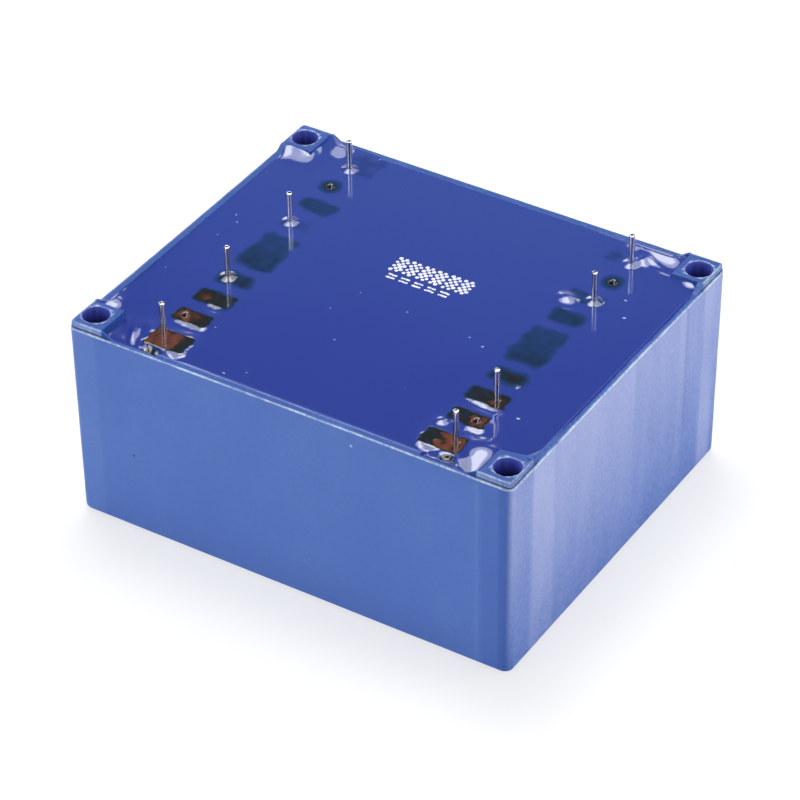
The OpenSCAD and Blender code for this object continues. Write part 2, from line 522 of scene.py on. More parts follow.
@dataclass(frozen=True)
class Plan:
    """Sizes that several pieces share, in millimetres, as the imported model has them."""

    half_l: float = 34.0
    half_w: float = 28.5
    rim_h: float = 30.5
    wall: float = 1.2
    floor: float = 1.5
    draft: float = 0.23
    corner: float = 1.2
    pad_l: float = 5.2
    pad_w: float = 5.9
    pad_h: float = 0.9
    relief_l: float = 8.6
    relief_t: float = 0.5
    relief_depth: float = 2.0
    row_x: float = 22.5
    raster: float = 5.08
    places: int = 10
    bow: float = 0.12

    @property
    def seat_z(self) -> float:
        """Height of the pads' seats."""
        return self.rim_h + self.pad_h

    def place_y(self, place: float) -> float:
        """Y of a place in a row of terminals."""
        return (place - (self.places - 1) / 2) * self.raster

    def wall_inside_y(self, x: Array) -> Array:
        """Y of the front and rear walls' inner faces, set back where the rim is thinned."""
        ax = np.abs(x)
        edge = self.half_l - self.pad_l
        thin = (ax > edge - self.relief_l) & (ax < edge)
        return self.half_w - self.wall + self.relief_t * thin

    def corner_part(self, x: Array, y: Array) -> tuple[Array, Array]:
        """How far points lie into the corners' squares, from 0 to 1 along each axis."""
        return (np.clip((np.abs(x) - self.half_l + self.corner) / self.corner, 0.0, 1.0),
                np.clip((np.abs(y) - self.half_w + self.corner) / self.corner, 0.0, 1.0))

    def settle(self, x: Array, y: Array, z: Array) -> tuple[Array, Array]:
        """Rounds the upright corners and bows the walls in towards the rim.

        In a corner, the square of side `corner` goes to a quarter disc. A wall then moves
        in by bow (1 - s^2) (z / rim)^2, s being the place along it from -1 to 1, times the
        sixth power of the place across, so that the middle of the part doesn't move.

        Args:
            x: Positions along X, for square corners and straight walls.
            y: Positions along Y.
            z: Heights.

        Returns:
            The moved X and Y.
        """
        u, v = self.corner_part(x, y)
        pu, pv = disc_pull(u, v)
        x = x + np.sign(x) * (pu - u) * self.corner
        y = y + np.sign(y) * (pv - v) * self.corner
        rise = np.clip(z / self.rim_h, 0.0, 1.0) ** 2 * self.bow
        sx, sy = x / self.half_l, y / self.half_w
        return (x - sx * np.abs(sx) ** 5 * rise * (1.0 - sy ** 2),
                y - sy * np.abs(sy) ** 5 * rise * (1.0 - sx ** 2))


PLAN = Plan()


# ---------------------------------------------------------------- finishes

@dataclass(frozen=True)
class CasePlastic:
    """Satin blue moulded plastic, with a painted pale sheen on the two side walls.

    The mesh carries, from 0 to 1, how far a point belongs to a side wall, a screw hole, a painted
    edge highlight, an upper flat and the groove about a pad; the flats and the groove are painted as shade.

    Attributes:
        sheen_streaks: Upright stripes of the painted sheen: centre along Y, half width and strength.
        light_and_shade_stripes: Upright stripes of painted light and shade on the end walls, over sink
            marks and round corners: centre along X, half width and strength.
        sheen_patches: Patches of painted sheen: band along Y, heights between which they fade, strength.
        lip_at: Band along Y of the light lip on the front rim.
        lip_along: Band along X of that lip.
        strip_from: Where the strip of the right rim that resin ran over starts along X.
        strip_to: Where that strip ends along X, sharply.
        strip_along: Band along Y of that strip.
        gloss_from: Where the strip has the resin's gloss too.
        hole_shade_depths: Depths under the rim between which a screw hole is painted dark, a painted shade.
    """

    colour: Colour = paint(90, 124, 202)
    pale: Colour = paint(116, 148, 214)
    deep: Colour = paint(74, 106, 186)
    # darker copy of the blue for the flats, a painted shade
    upper: Colour = paint(34, 74, 152)
    scuffed: Colour = paint(84, 126, 206)
    # near-white painted highlight along the edges and round the screw holes
    wear_and_glint: Colour = paint(222, 242, 255)
    shade: Colour = paint(14, 26, 70)
    pit: Colour = paint(16, 26, 60)
    # pale colour of the painted sheen on the side walls, also used for the real pale specks
    sheen_and_specks: Colour = (0.55, 0.60, 0.90, 1.0)
    bore: Colour = paint(98, 112, 214)
    # painted shade at the bottom of the screw holes
    bottom: Colour = paint(18, 16, 34)
    lip: Colour = paint(112, 152, 240)
    skin: Colour = paint(30, 52, 147)
    rim_z: float = 30.5
    sheen_streaks: tuple[tuple[float, float, float], ...] = (
        (-25.2, 1.9, -0.36), (-20.4, 2.6, 0.14), (-9.0, 2.0, 0.05), (11.0, 7.0, -0.17), (16.8, 0.5, 0.16),
        (20.2, 2.2, -0.26), (24.1, 0.7, -0.02), (26.6, 1.2, -0.1))
    light_and_shade_stripes: tuple[tuple[float, float, float], ...] = (
        (-31.6, 2.3, 0.25), (-29.3, 0.12, -0.25), (29.2, 0.14, 0.3), (31.1, 1.6, -0.4), (33.1, 0.6, -0.8))
    sheen_patches: tuple[tuple[tuple[float, float, float], Pair, float], ...] = (
        ((24.3, 1.2, 1.5), (0.2, 0.7), 0.3), ((-20.4, 2.6, 1.5), (0.4, 0.9), 0.09))
    lip_at: tuple[float, float, float] = (-27.32, 0.08, 0.14)
    lip_along: tuple[float, float, float] = (0.0, 18.5, 3.0)
    strip_from: Pair = (32.2, 32.3)
    strip_to: Pair = (33.1, 33.26)
    strip_along: tuple[float, float, float] = (3.0, 14.0, 7.0)
    gloss_from: Pair = (32.86, 32.96)
    hole_shade_depths: Pair = (2.6, 0.2)

    @staticmethod
    def _stripes(along: Signal, stripes: Sequence[tuple[float, float, float]]) -> Signal:
        """Sum of upright stripes, each with its centre, half width and strength."""
        first, *others = (along.band(centre, half, 0.7) * strength for centre, half, strength in stripes)
        return sum(others, first)

    def build(self) -> bpy.types.Material:
        """Makes the material from clouds, a stretched flow noise, a fine grain, painted highlights on the
        edges, and marks.

        The painted sheen on the side walls, a pale reflection put into their colour, grows with the height
        and changes in stripes along the wall.
        On the flats, a lighter lip runs along the front rim, and a strip of the right rim
        has the colour and some of the gloss of the resin that ran over it.

        Returns:
            The material.
        """
        material, board = new_board("case_plastic")
        where, x, y, z = board.place()
        side = board.value("side").step(0.25, 0.7)
        hole = board.value("hole")
        cloud = board.noise(where, 9.0, 2.0)
        flow = board.noise(where, 3.0, 3.0, 0.55, (1.0, 1.0, 0.25))
        grain = board.noise(where, 0.5, 4.0, 0.65)
        tone = (cloud - 0.5) * 0.5 + (flow - 0.5) * 0.3 + (grain - 0.5) * 0.55
        # painted light and shade in upright stripes on the end walls
        tone = tone + self._stripes(x, self.light_and_shade_stripes) * (1.0 - side)
        colour = board.mix(tone.held(), self.colour, self.pale)
        colour = board.mix((0.0 - tone).held(), colour, self.deep)
        height = z * (1.0 / self.rim_z)
        # painted sheen: a pale reflection on the side walls, stronger towards the top, in stripes and
        # patches
        painted_sheen = height.step(-0.35, 1.0) * 0.56 + height.step(0.5, 1.0) * 0.06
        for along, fade, strength in self.sheen_patches:
            painted_sheen = painted_sheen + y.band(*along) * (1.0 - height.step(*fade)) * strength
        painted_sheen = painted_sheen * (1.0 + self._stripes(y, self.sheen_streaks)) + (grain - 0.5) * 0.5 + (flow - 0.5) * 0.22
        colour = board.mix((painted_sheen * side).held(), colour, self.sheen_and_specks)
        # painted shade: the flats take a darker copy of the plastic; the lighter scuffs on them are real
        flat = board.value("upper")
        top = board.mix(((grain - 0.48) * 1.4 + (cloud - 0.5)).held(), self.upper, self.scuffed)
        colour = board.mix(flat, colour, top)
        lip = y.band(*self.lip_at) * x.band(*self.lip_along) * flat
        colour = board.mix(lip * (flow * 1.2), colour, self.lip)
        run_over = 1.0 - (x + (flow - 0.5) * 0.5).step(*self.strip_to)
        soaked = run_over * x.step(*self.strip_from) * y.band(*self.strip_along) * flat
        # painted highlight along the edges, the pad steps and the screw holes' rims, broken up by noise
        wear_and_glint = board.value("edge") * (flow * 2.0 - 0.4 + (grain - 0.5) * 1.6)
        colour = board.mix(wear_and_glint.held(0.9), colour, self.wear_and_glint)
        colour = board.mix(soaked * 0.92, colour, self.skin)
        # painted shade in the groove at the foot of each pad
        crease = board.value("crease")
        colour = board.mix(crease.step(0.6, 0.9) * 0.8, colour, self.shade)
        # real pale specks, in the colour of the painted sheen
        colour = board.mix(board.spots(where, 0.16, (0.03, 0.05)) * 0.7, colour, self.sheen_and_specks)
        colour = board.mix(board.spots(where, 0.11, (0.014, 0.022), 0.9) * 0.8, colour, self.pit)
        # painted shade: a screw hole darkens with depth
        dark_below, clear_above = self.hole_shade_depths
        depth = z.step(self.rim_z - dark_below, self.rim_z - clear_above)
        colour = board.mix(hole, colour, board.mix(depth, self.bottom, self.bore))
        rough = (0.40 + grain * 0.16) * (1.0 - soaked * x.step(*self.gloss_from) * 0.7)
        normal = board.bump(board.noise(where, 0.35, 3.0, 0.55), 0.025, 0.4)
        board.finish(Base_Color=colour, Roughness=rough, Normal=normal, IOR=1.5, Specular_IOR_Level=0.16)
        return material


@dataclass(frozen=True)
class PottingResin:
    """Glossy blue casting resin, through which the terminal blocks show where it is thin.

    The mesh carries the thickness of resin over the nearest block, in millimetres.
    """

    colour: Colour = paint(56, 80, 164)
    # darker resin towards the front, the shaded end of the painted light gradient
    deep: Colour = paint(42, 64, 156)
    films: tuple[tuple[float, tuple[float, float, float]], ...] = (
        (0.00, (114, 57, 40)), (0.02, (98, 50, 35)), (0.04, (54, 33, 25)), (0.06, (20, 24, 22)),
        (0.074, (22, 26, 27)), (0.10, (13, 37, 60)), (0.14, (9, 45, 88)), (0.20, (13, 55, 106)),
        (0.30, (26, 60, 127)), (0.42, (44, 66, 148)))

    def build(self) -> bpy.types.Material:
        """Makes the material: a ramp of colours by thickness, over a body with a painted light gradient,
        lighter towards the rear and the left, that also drifts in tone.

        Returns:
            The material.
        """
        material, board = new_board("potting_resin")
        where, x, y, _ = board.place()
        film = board.value("film")
        tint = board.ramp(film * 2.0, [(place * 2.0, paint(*rgb)) for place, rgb in self.films])
        drift = board.noise(where, 22.0, 1.0)
        # painted light: the resin lighter towards the rear and the left, plus a random drift
        painted_light_gradient = y.step(-30.0, 40.0) * 0.8 - x.step(0.0, 45.0) * 0.35 + (drift - 0.5) * 0.3
        body = board.mix(painted_light_gradient.held(), self.deep, self.colour)
        colour = board.mix(film.step(0.30, 0.5), tint, body)
        rough = 0.09 + (1.0 - film.step(0.02, 0.05)) * 0.08
        normal = board.bump(board.noise(where, 6.0, 2.0), 0.02, 0.2)
        board.finish(Base_Color=colour, Roughness=rough, Normal=normal, IOR=1.45)
        return material


@dataclass(frozen=True)
class FormerPlastic:
    """Brown moulding compound of the coil formers' terminal combs."""

    colour: Colour = paint(118, 62, 42)
    dark: Colour = paint(70, 38, 28)

    def build(self) -> bpy.types.Material:
        """Makes the material.

        Returns:
            The material.
        """
        material, board = new_board("former_plastic")
        where = board.place()[0]
        fleck = board.noise(where, 0.6, 4.0, 0.6)
        board.finish(Base_Color=board.mix(fleck.step(0.35, 0.7), self.colour, self.dark),
                     Roughness=0.3 + fleck * 0.3, Normal=board.bump(fleck, 0.02, 0.4))
        return material


@dataclass(frozen=True)
class TinnedPin:
    """Tinned wire, with bare copper where the tip was cut."""

    tin: Colour = paint(222, 222, 226)
    dull: Colour = paint(160, 160, 168)
    copper: Colour = paint(52, 36, 34)
    # dark lines along the pin: draw marks, and a painted reflection of the dark streaks it mirrors
    draw_mark_and_reflection: Colour = paint(58, 60, 74)

    def build(self) -> bpy.types.Material:
        """Makes the material; the mesh's "bare" numbers say where the copper shows.

        Returns:
            The material.
        """
        material, board = new_board("tinned_pin")
        where = board.place()[0]
        bare = board.value("bare")
        smear = board.noise(where, 0.5, 3.0, 0.6, (1.0, 1.0, 0.35))
        colour = board.mix(smear.step(0.4, 0.75) * 0.6, self.tin, self.dull)
        # dark lengthwise lines: draw marks, partly a painted reflection
        lines = board.noise(where, 0.42, 2.0, 0.5, (1.0, 1.0, 0.05))
        colour = board.mix(lines.step(0.5, 0.58) * 0.7, colour, self.draw_mark_and_reflection)
        colour = board.mix(bare.step(0.3, 0.7), colour, self.copper)
        board.finish(Base_Color=colour, Metallic=1.0, Roughness=0.12 + smear * 0.2,
                     Normal=board.bump(smear, 0.02, 0.25))
        return material


@dataclass(frozen=True)
class MarkingInk:
    """White marking ink."""

    colour: Colour = paint(232, 235, 245)
    faded: Colour = paint(170, 182, 220)

    def build(self) -> bpy.types.Material:
        """Makes the material.

        Returns:
            The material.
        """
        material, board = new_board("marking_ink")
        where = board.place()[0]
        wear_and_glint = board.noise(where, 0.5, 3.0)
        board.finish(Base_Color=board.mix(wear_and_glint.step(0.45, 0.8) * 0.5, self.colour, self.faded),
                     Roughness=0.35 + wear_and_glint * 0.2)
        return material


@dataclass(frozen=True)
class Dust:
    """Dust grains caught on the resin, pale or dark."""

    name: str
    colour: Colour
    coated: Colour = paint(110, 130, 190)

    def build(self) -> bpy.types.Material:
        """Makes the material.

        Returns:
            The material.
        """
        material, board = new_board(self.name)
        where = board.place()[0]
        fleck = board.noise(where, 0.2, 2.0)
        board.finish(Base_Color=board.mix(fleck * 0.4, self.colour, self.coated),
                     Roughness=0.3 + fleck * 0.3)
        return material


# ---------------------------------------------------------------- the case

@dataclass
class Case:
    """The moulded cup: leaning walls, thin rim, four corner pads with blind screw holes.

    Attributes:
        beads: Distances from an edge at which grid lines follow its round.
        pad_step: How far a pad's upper part stands back from the case's outline.
        slope: Length over which the rim climbs to a pad.
        ring_in: Half side of the grid square that is bent into a screw hole.
        ring_out: Half side of the square from which the grid is unchanged.
        sliver: Distance between the two grid lines at a sudden step.
        hump_at: Distance from the corner of a side wall's hump, and its half width.
        dent_at: Distance from the corner of the dent beside it, and its half width.
        wave: Middle wavelength of the walls' unevenness, and of the rim's.
        sheen_over: How far the painted sheen of the side walls runs in over the rim.
        edge_glint: Half widths of the painted highlight along the side rims and along the end rims.
    """

    plan: Plan = PLAN
    edge_r: float = 0.15
    inner_r: float = 0.12
    base_r: float = 0.8
    beads: tuple[float, ...] = (0.03, 0.07, 0.12, 0.2)
    pad_step: float = 0.3
    pad_edge: float = 0.16
    groove: float = 0.08
    groove_w: float = 0.07
    slope: float = 1.9
    hole_x: float = 31.55
    hole_y: float = 25.3
    hole_r: float = 1.9
    hole_edge: float = 0.1
    hole_depth: float = 9.0
    hole_cone: float = 0.5
    ring_in: float = 1.66
    ring_out: float = 2.08
    sliver: float = 0.012
    levels: int = 30
    top_bead: float = 0.14
    base_rings: int = 5
    unevenness: float = 0.012
    hump: float = 0.05
    dent: float = 0.03
    hump_at: Pair = (5.6, 1.9)
    dent_at: Pair = (2.4, 1.2)
    hump_foot: float = 4.0
    wave: Pair = (12.0, 7.0)
    sheen_over: float = 0.25
    edge_glint: Pair = (0.2, 0.12)
    ring_step: float = 0.22
    ring_bead: float = 0.12
    rim_step: float = 2.2
    relief_step: float = 0.9
    slope_step: float = 0.2
    pad_grid: float = 0.5

    def _lines(self, half: float, pad: float, hole: float) -> Array:
        """Grid lines on the positive side of one axis, from 0 to the outer face.

        Args:
            half: Half of the case's length or width.
            pad: Length of a pad along this axis.
            hole: Place of the screw hole along this axis.

        Returns:
            The lines.
        """
        inner, step = half - self.plan.wall, half - self.pad_step
        edge = half - pad
        bead = np.array(self.beads)
        extra = [inner, inner - self.sliver, edge, edge - self.sliver, step, step + self.sliver,
                 *(inner + bead[:3]), *(edge + bead), *(step - bead[:3]), *(half - bead),
                 inner + self.plan.relief_t, inner + self.plan.relief_t - self.sliver,
                 hole - self.ring_in - self.sliver, hole + self.ring_in + self.sliver,
                 hole - self.ring_in - self.ring_bead, hole + self.ring_in + self.ring_bead,
                 hole - self.ring_out, hole + self.ring_out]
        relief = edge - self.plan.relief_l
        spans = [(0.0, relief, self.rim_step), (relief, edge - self.slope, self.relief_step),
                 (edge - self.slope, edge, self.slope_step), (edge, half, self.pad_grid),
                 (hole - self.ring_in, hole + self.ring_in, self.ring_step)]
        return grid_lines(spans, extra + [relief, relief + self.sliver])

    def _depths(self, x: Array, y: Array) -> tuple[Array, Array, Array]:
        """How deep points lie in from the outline, into the rim from the hollow, and in a pad.

        Args:
            x: Grid positions along X.
            y: Grid positions along Y.

        Returns:
            The three distances, positive inside.
        """
        p = self.plan
        ax, ay = np.abs(x), np.abs(y)
        pad = np.minimum(ax - (p.half_l - p.pad_l), ay - (p.half_w - p.pad_w))
        rim = np.maximum(ax - (p.half_l - p.wall), ay - p.wall_inside_y(x))
        return np.minimum(p.half_l - ax, p.half_w - ay), np.maximum(rim, pad), pad

    def _top(self, x: Array, y: Array, inside: Array, hole: Array) -> Array:
        """Height of the upper surface.

        It is the highest of the rim, the pads and the slopes that lead down from a pad
        along the rim; each has a quarter-round edge. In the hollow it is the inner floor,
        and in a screw hole it is the hole's bottom.

        Args:
            x: Grid positions along X, after the rings were bent.
            y: Grid positions along Y.
            inside: Whether a point lies in a screw hole.
            hole: Distance from a screw hole's wall, positive outside.

        Returns:
            The height.
        """
        p = self.plan
        ax, ay = np.abs(x), np.abs(y)
        pad_x, pad_y = ax - (p.half_l - p.pad_l), ay - (p.half_w - p.pad_w)
        deep_x, deep_y = ax - (p.half_l - p.wall), ay - (p.half_w - p.wall)
        thin_y = ay - p.wall_inside_y(x)
        out_wall, in_wall, column = self._depths(x, y)
        uneven = self.unevenness * ripple(x, y, self.wave[1], 11)
        rim = p.rim_h + uneven - edge_round(in_wall, self.inner_r) - edge_round(out_wall, self.edge_r)
        shelf = np.maximum(np.maximum(deep_x, deep_y), column) >= 0.0
        rim = np.where(in_wall >= 0.0, rim, np.where(shelf, p.rim_h - p.relief_depth, p.floor))
        outer = np.minimum(p.half_l - self.pad_step - ax, p.half_w - self.pad_step - ay)
        pad_in = np.minimum(column, outer)
        pad = np.where(pad_in >= 0.0, p.seat_z - edge_round(pad_in, self.pad_edge), 0.0)
        ramp_x = ease(pad_x, -self.slope, 0.0) * (thin_y >= 0.0)
        ramp_y = ease(pad_y, -self.slope, 0.0) * (deep_x >= 0.0)
        along = np.where(pad_x < 0.0, ramp_x, np.where(pad_y < 0.0, ramp_y, 0.0))
        ramp = rim + p.pad_h * along * (outer >= 0.0)
        foot = bell(np.minimum(outer, 0.0), self.groove_w) * (outer < 0.0) * (column > 0.0)
        top = np.maximum(np.maximum(rim - self.groove * foot, pad), np.where(in_wall >= 0.0, ramp, 0.0))
        rounded = np.minimum(top, p.seat_z - edge_round(hole, self.hole_edge))
        top = np.where(hole < self.hole_edge, rounded, top)
        floor = p.seat_z - self.hole_depth - self.hole_cone * (1.0 + hole / self.hole_r)
        return np.where(inside, floor, top)

    def _side(self, x: Array, y: Array) -> Array:
        """How far a point of the outline belongs to a side wall, half and half mid-corner."""
        u, v = self.plan.corner_part(x, y)
        return np.where(u < 1.0, 0.5 * u, 1.0 - 0.5 * v)

    def _bulge(self, along: Array, z: Array, half: float, seed: int) -> Array:
        """How far a side wall stands out: soft humps over the corner columns, and unevenness."""
        inward = half - np.abs(along)
        hump, hump_w = self.hump_at
        dent, dent_w = self.dent_at
        column = self.hump * bell(hump - inward, hump_w) - self.dent * bell(dent - inward, dent_w)
        uneven = self.unevenness * ripple(along, z, self.wave[0], seed)
        return column * ease(z, 0.0, self.hump_foot) + uneven

    def _ring(self, x: Array, y: Array, z: float, inset: float) -> tuple[Array, Array]:
        """Carries points of the outline to a height on the leaning, uneven walls.

        Args:
            x: Positions along X.
            y: Positions along Y.
            z: The height.
            inset: How far the base edge's round draws them in.

        Returns:
            The moved X and Y.
        """
        p = self.plan
        level = np.full(x.shape, z)
        ring_x, ring_y = p.settle(x, y, level)
        lean = p.draft * (1.0 - z / p.rim_h) + inset
        share = 1.0 - inset / self.base_r
        bulge_x = self._bulge(y, level, p.half_w, 5) * (np.abs(x) > p.half_l - 0.01)
        bulge_y = self._bulge(x, level, p.half_l, 6) * (np.abs(y) > p.half_w - 0.01)
        return (ring_x * (1.0 - lean / p.half_l) + np.sign(x) * bulge_x * share,
                ring_y * (1.0 - lean / p.half_w) + np.sign(y) * bulge_y * share)

    def _marks(self, x: Array, y: Array, hole: Array) -> dict[str, Array]:
        """Where the finish changes over the upper surface, as numbers from 0 to 1.

        "side" is the painted sheen that runs over a side wall's edge, "hole" a screw hole, "upper"
        the flats, painted darker as shade, "crease" the groove about a pad, painted dark as shade,
        and "edge" the painted highlight along the edges, each a bell of the distance from it.

        Args:
            x: Grid positions along X, after the rings were bent.
            y: Grid positions along Y.
            hole: Distance from a screw hole's wall, positive outside.

        Returns:
            The numbers of each point.
        """
        p = self.plan
        ax, ay = np.abs(x), np.abs(y)
        outer, inner, pad = self._depths(x, y)
        step = np.where(pad > -0.05, np.abs(outer - self.pad_step), 1.0)
        # painted sheen of the side walls, carried a little over the rim's outer edge
        near_side = p.half_l - ax < self.sheen_over
        sheen_and_specks = np.where(near_side, self._side(np.sign(x) * p.half_l, y), 0.0) * (outer < self.sheen_over)
        # painted highlight: the outer edge, the front rim's inner edge, the screw holes' rims and the pad
        # steps
        edge_glint = [bell(outer, np.where(ax > ay + 5.0, *self.edge_glint)),
                0.08 * bell(inner - 0.1, 0.14) * (-y > ax),
                0.9 * bell(hole - 0.06, 0.09), 0.8 * bell(step - 0.1, 0.1)]
        return {"side": sheen_and_specks, "hole": hole < 0.02, "edge": np.maximum.reduce(edge_glint),
                "upper": ease(np.minimum(step, outer), 0.02, 0.14),
                "crease": (np.abs(step - self.sliver) < 0.004) & (outer < self.pad_step)}

    def build(self, material: bpy.types.Material) -> None:
        """Makes the case as one closed surface.

        The upper surface is a height field on a grid whose lines are bent into the screw
        holes' circles. Its outline is carried down as rings, by the lean and then round
        the base edge's radius, to a flat grid, the closed face.

        Args:
            material: The case's plastic.
        """
        p = self.plan
        x, y = lattice(mirrored(self._lines(p.half_l, p.pad_l, self.hole_x)),
                     mirrored(self._lines(p.half_w, p.pad_w, self.hole_y)))
        columns, rows = x.shape
        inside = np.zeros(x.shape, dtype=bool)
        hole = np.full(x.shape, 99.0)
        for sx, sy in ((-1, -1), (-1, 1), (1, -1), (1, 1)):
            centre = (sx * self.hole_x, sy * self.hole_y)
            x, y, offset = ring_warp(x, y, centre, self.ring_in, self.ring_out, self.hole_r)
            gap = np.hypot(x - centre[0], y - centre[1]) - self.hole_r
            inside |= offset <= self.ring_in + TINY
            hole = np.where(offset < self.ring_out, gap, hole)
        top = self._top(x, y, inside, hole)
        values = {key: [marks.ravel()] for key, marks in self._marks(x, y, hole).items()}
        points = [points_of(*p.settle(x, y, top), top)]
        faces = [cell_faces(columns, rows)]
        x, y = x.ravel(), y.ravel()
        turn = np.linspace(0.0, np.pi / 2, self.base_rings + 1)[1:]
        start = p.rim_h - self.edge_r
        heights = np.concatenate([[start - self.top_bead], np.linspace(start, self.base_r, self.levels)[1:],
                                  self.base_r * (1.0 - np.sin(turn))])
        insets = np.concatenate([np.zeros(self.levels), self.base_r * (1.0 - np.cos(turn))])
        loop = perimeter(columns, rows)
        first, count = loop, x.size
        for number, (z, inset) in enumerate(zip(heights, insets), 1):
            last = number == len(heights)
            use = np.arange(x.size) if last else loop
            points.append(points_of(*self._ring(x[use], y[use], z, inset), np.full(use.shape, z)))
            for key, marks in values.items():
                marks.append(self._side(x[use], y[use]) if key == "side" else np.zeros(use.shape))
            second = count + (loop if last else np.arange(len(loop)))
            faces.append(quads_of(first, second, np.roll(second, -1), np.roll(first, -1)))
            if last:
                faces.append(cell_faces(columns, rows)[:, ::-1] + count)
            first, count = second, count + len(use)
        piece = put_mesh("case_shell", np.concatenate(points), np.concatenate(faces), material,
                         {key: np.concatenate(marks) for key, marks in values.items()})
        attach(piece, "root")
        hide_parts("case")
        report(piece)


# ---------------------------------------------------------------- terminal blocks and resin

@dataclass(frozen=True)
class Block:
    """One terminal block of a comb, where the resin meets it.

    Attributes:
        side: -1 in the left row, 1 in the right row.
        place: Its place in the row, from the front.
        front: Lowest Y.
        rear: Highest Y.
        inner: How far it reaches inwards from the row's axis.
        lift: Height of its top over the common height of the blocks.
        veil: Thickness of the resin that lies on its far part.
        clear: Distance inwards from the axis at which that resin starts.
        soft: How fast the resin thickens away from its edge.
        skin: Thickness of the resin on its near part.
    """

    side: int
    place: int
    front: float
    rear: float
    inner: float
    lift: float
    veil: float
    clear: float
    soft: float
    skin: float


@dataclass(frozen=True)
class Swell:
    """A low drop, tongue or hollow that the resin set in.

    Attributes:
        x: Place of its crown along X.
        y: Place of its crown along Y.
        height: Height of the crown.
        along: Half length at which the height has fallen to a third.
        across: Half width at which the height has fallen to a third.
        turn: Angle of its length from the X axis, in degrees.
        square: Power of the fall: 2 is a bell, more gives a flat crown and a steeper flank.
    """

    x: float
    y: float
    height: float
    along: float
    across: float
    turn: float = 0.0
    square: float = 2.0

    def rise(self, x: Array, y: Array) -> Array:
        """Height over the level: height exp(-(|u / along|^n + |v / across|^n))."""
        u, v = turned(x, y, (self.x, self.y), self.turn)
        n = self.square
        return self.height * np.exp(-np.abs(u / self.along) ** n - np.abs(v / self.across) ** n)


@dataclass(frozen=True)
class Fan:
    """Resin pulled up into a nook, or down into a pit: a cone that fades from its peak.

    Attributes:
        x: Place of the peak along X.
        y: Place of the peak along Y.
        height: Height of the peak; negative for a pit.
        reach: Distance at which the cone meets the level, along its axis.
        turn: Angle of its axis from the X axis, in degrees.
        narrow: How many times shorter it is across its axis.
    """

    x: float
    y: float
    height: float
    reach: float
    turn: float = 0.0
    narrow: float = 1.0

    def rise(self, x: Array, y: Array) -> Array:
        """Height over the level: the soft positive part of height (1 - d / reach)."""
        u, v = turned(x, y, (self.x, self.y), self.turn)
        return self.height * soft_part(1.0 - np.hypot(u, v * self.narrow) / self.reach, 0.06)


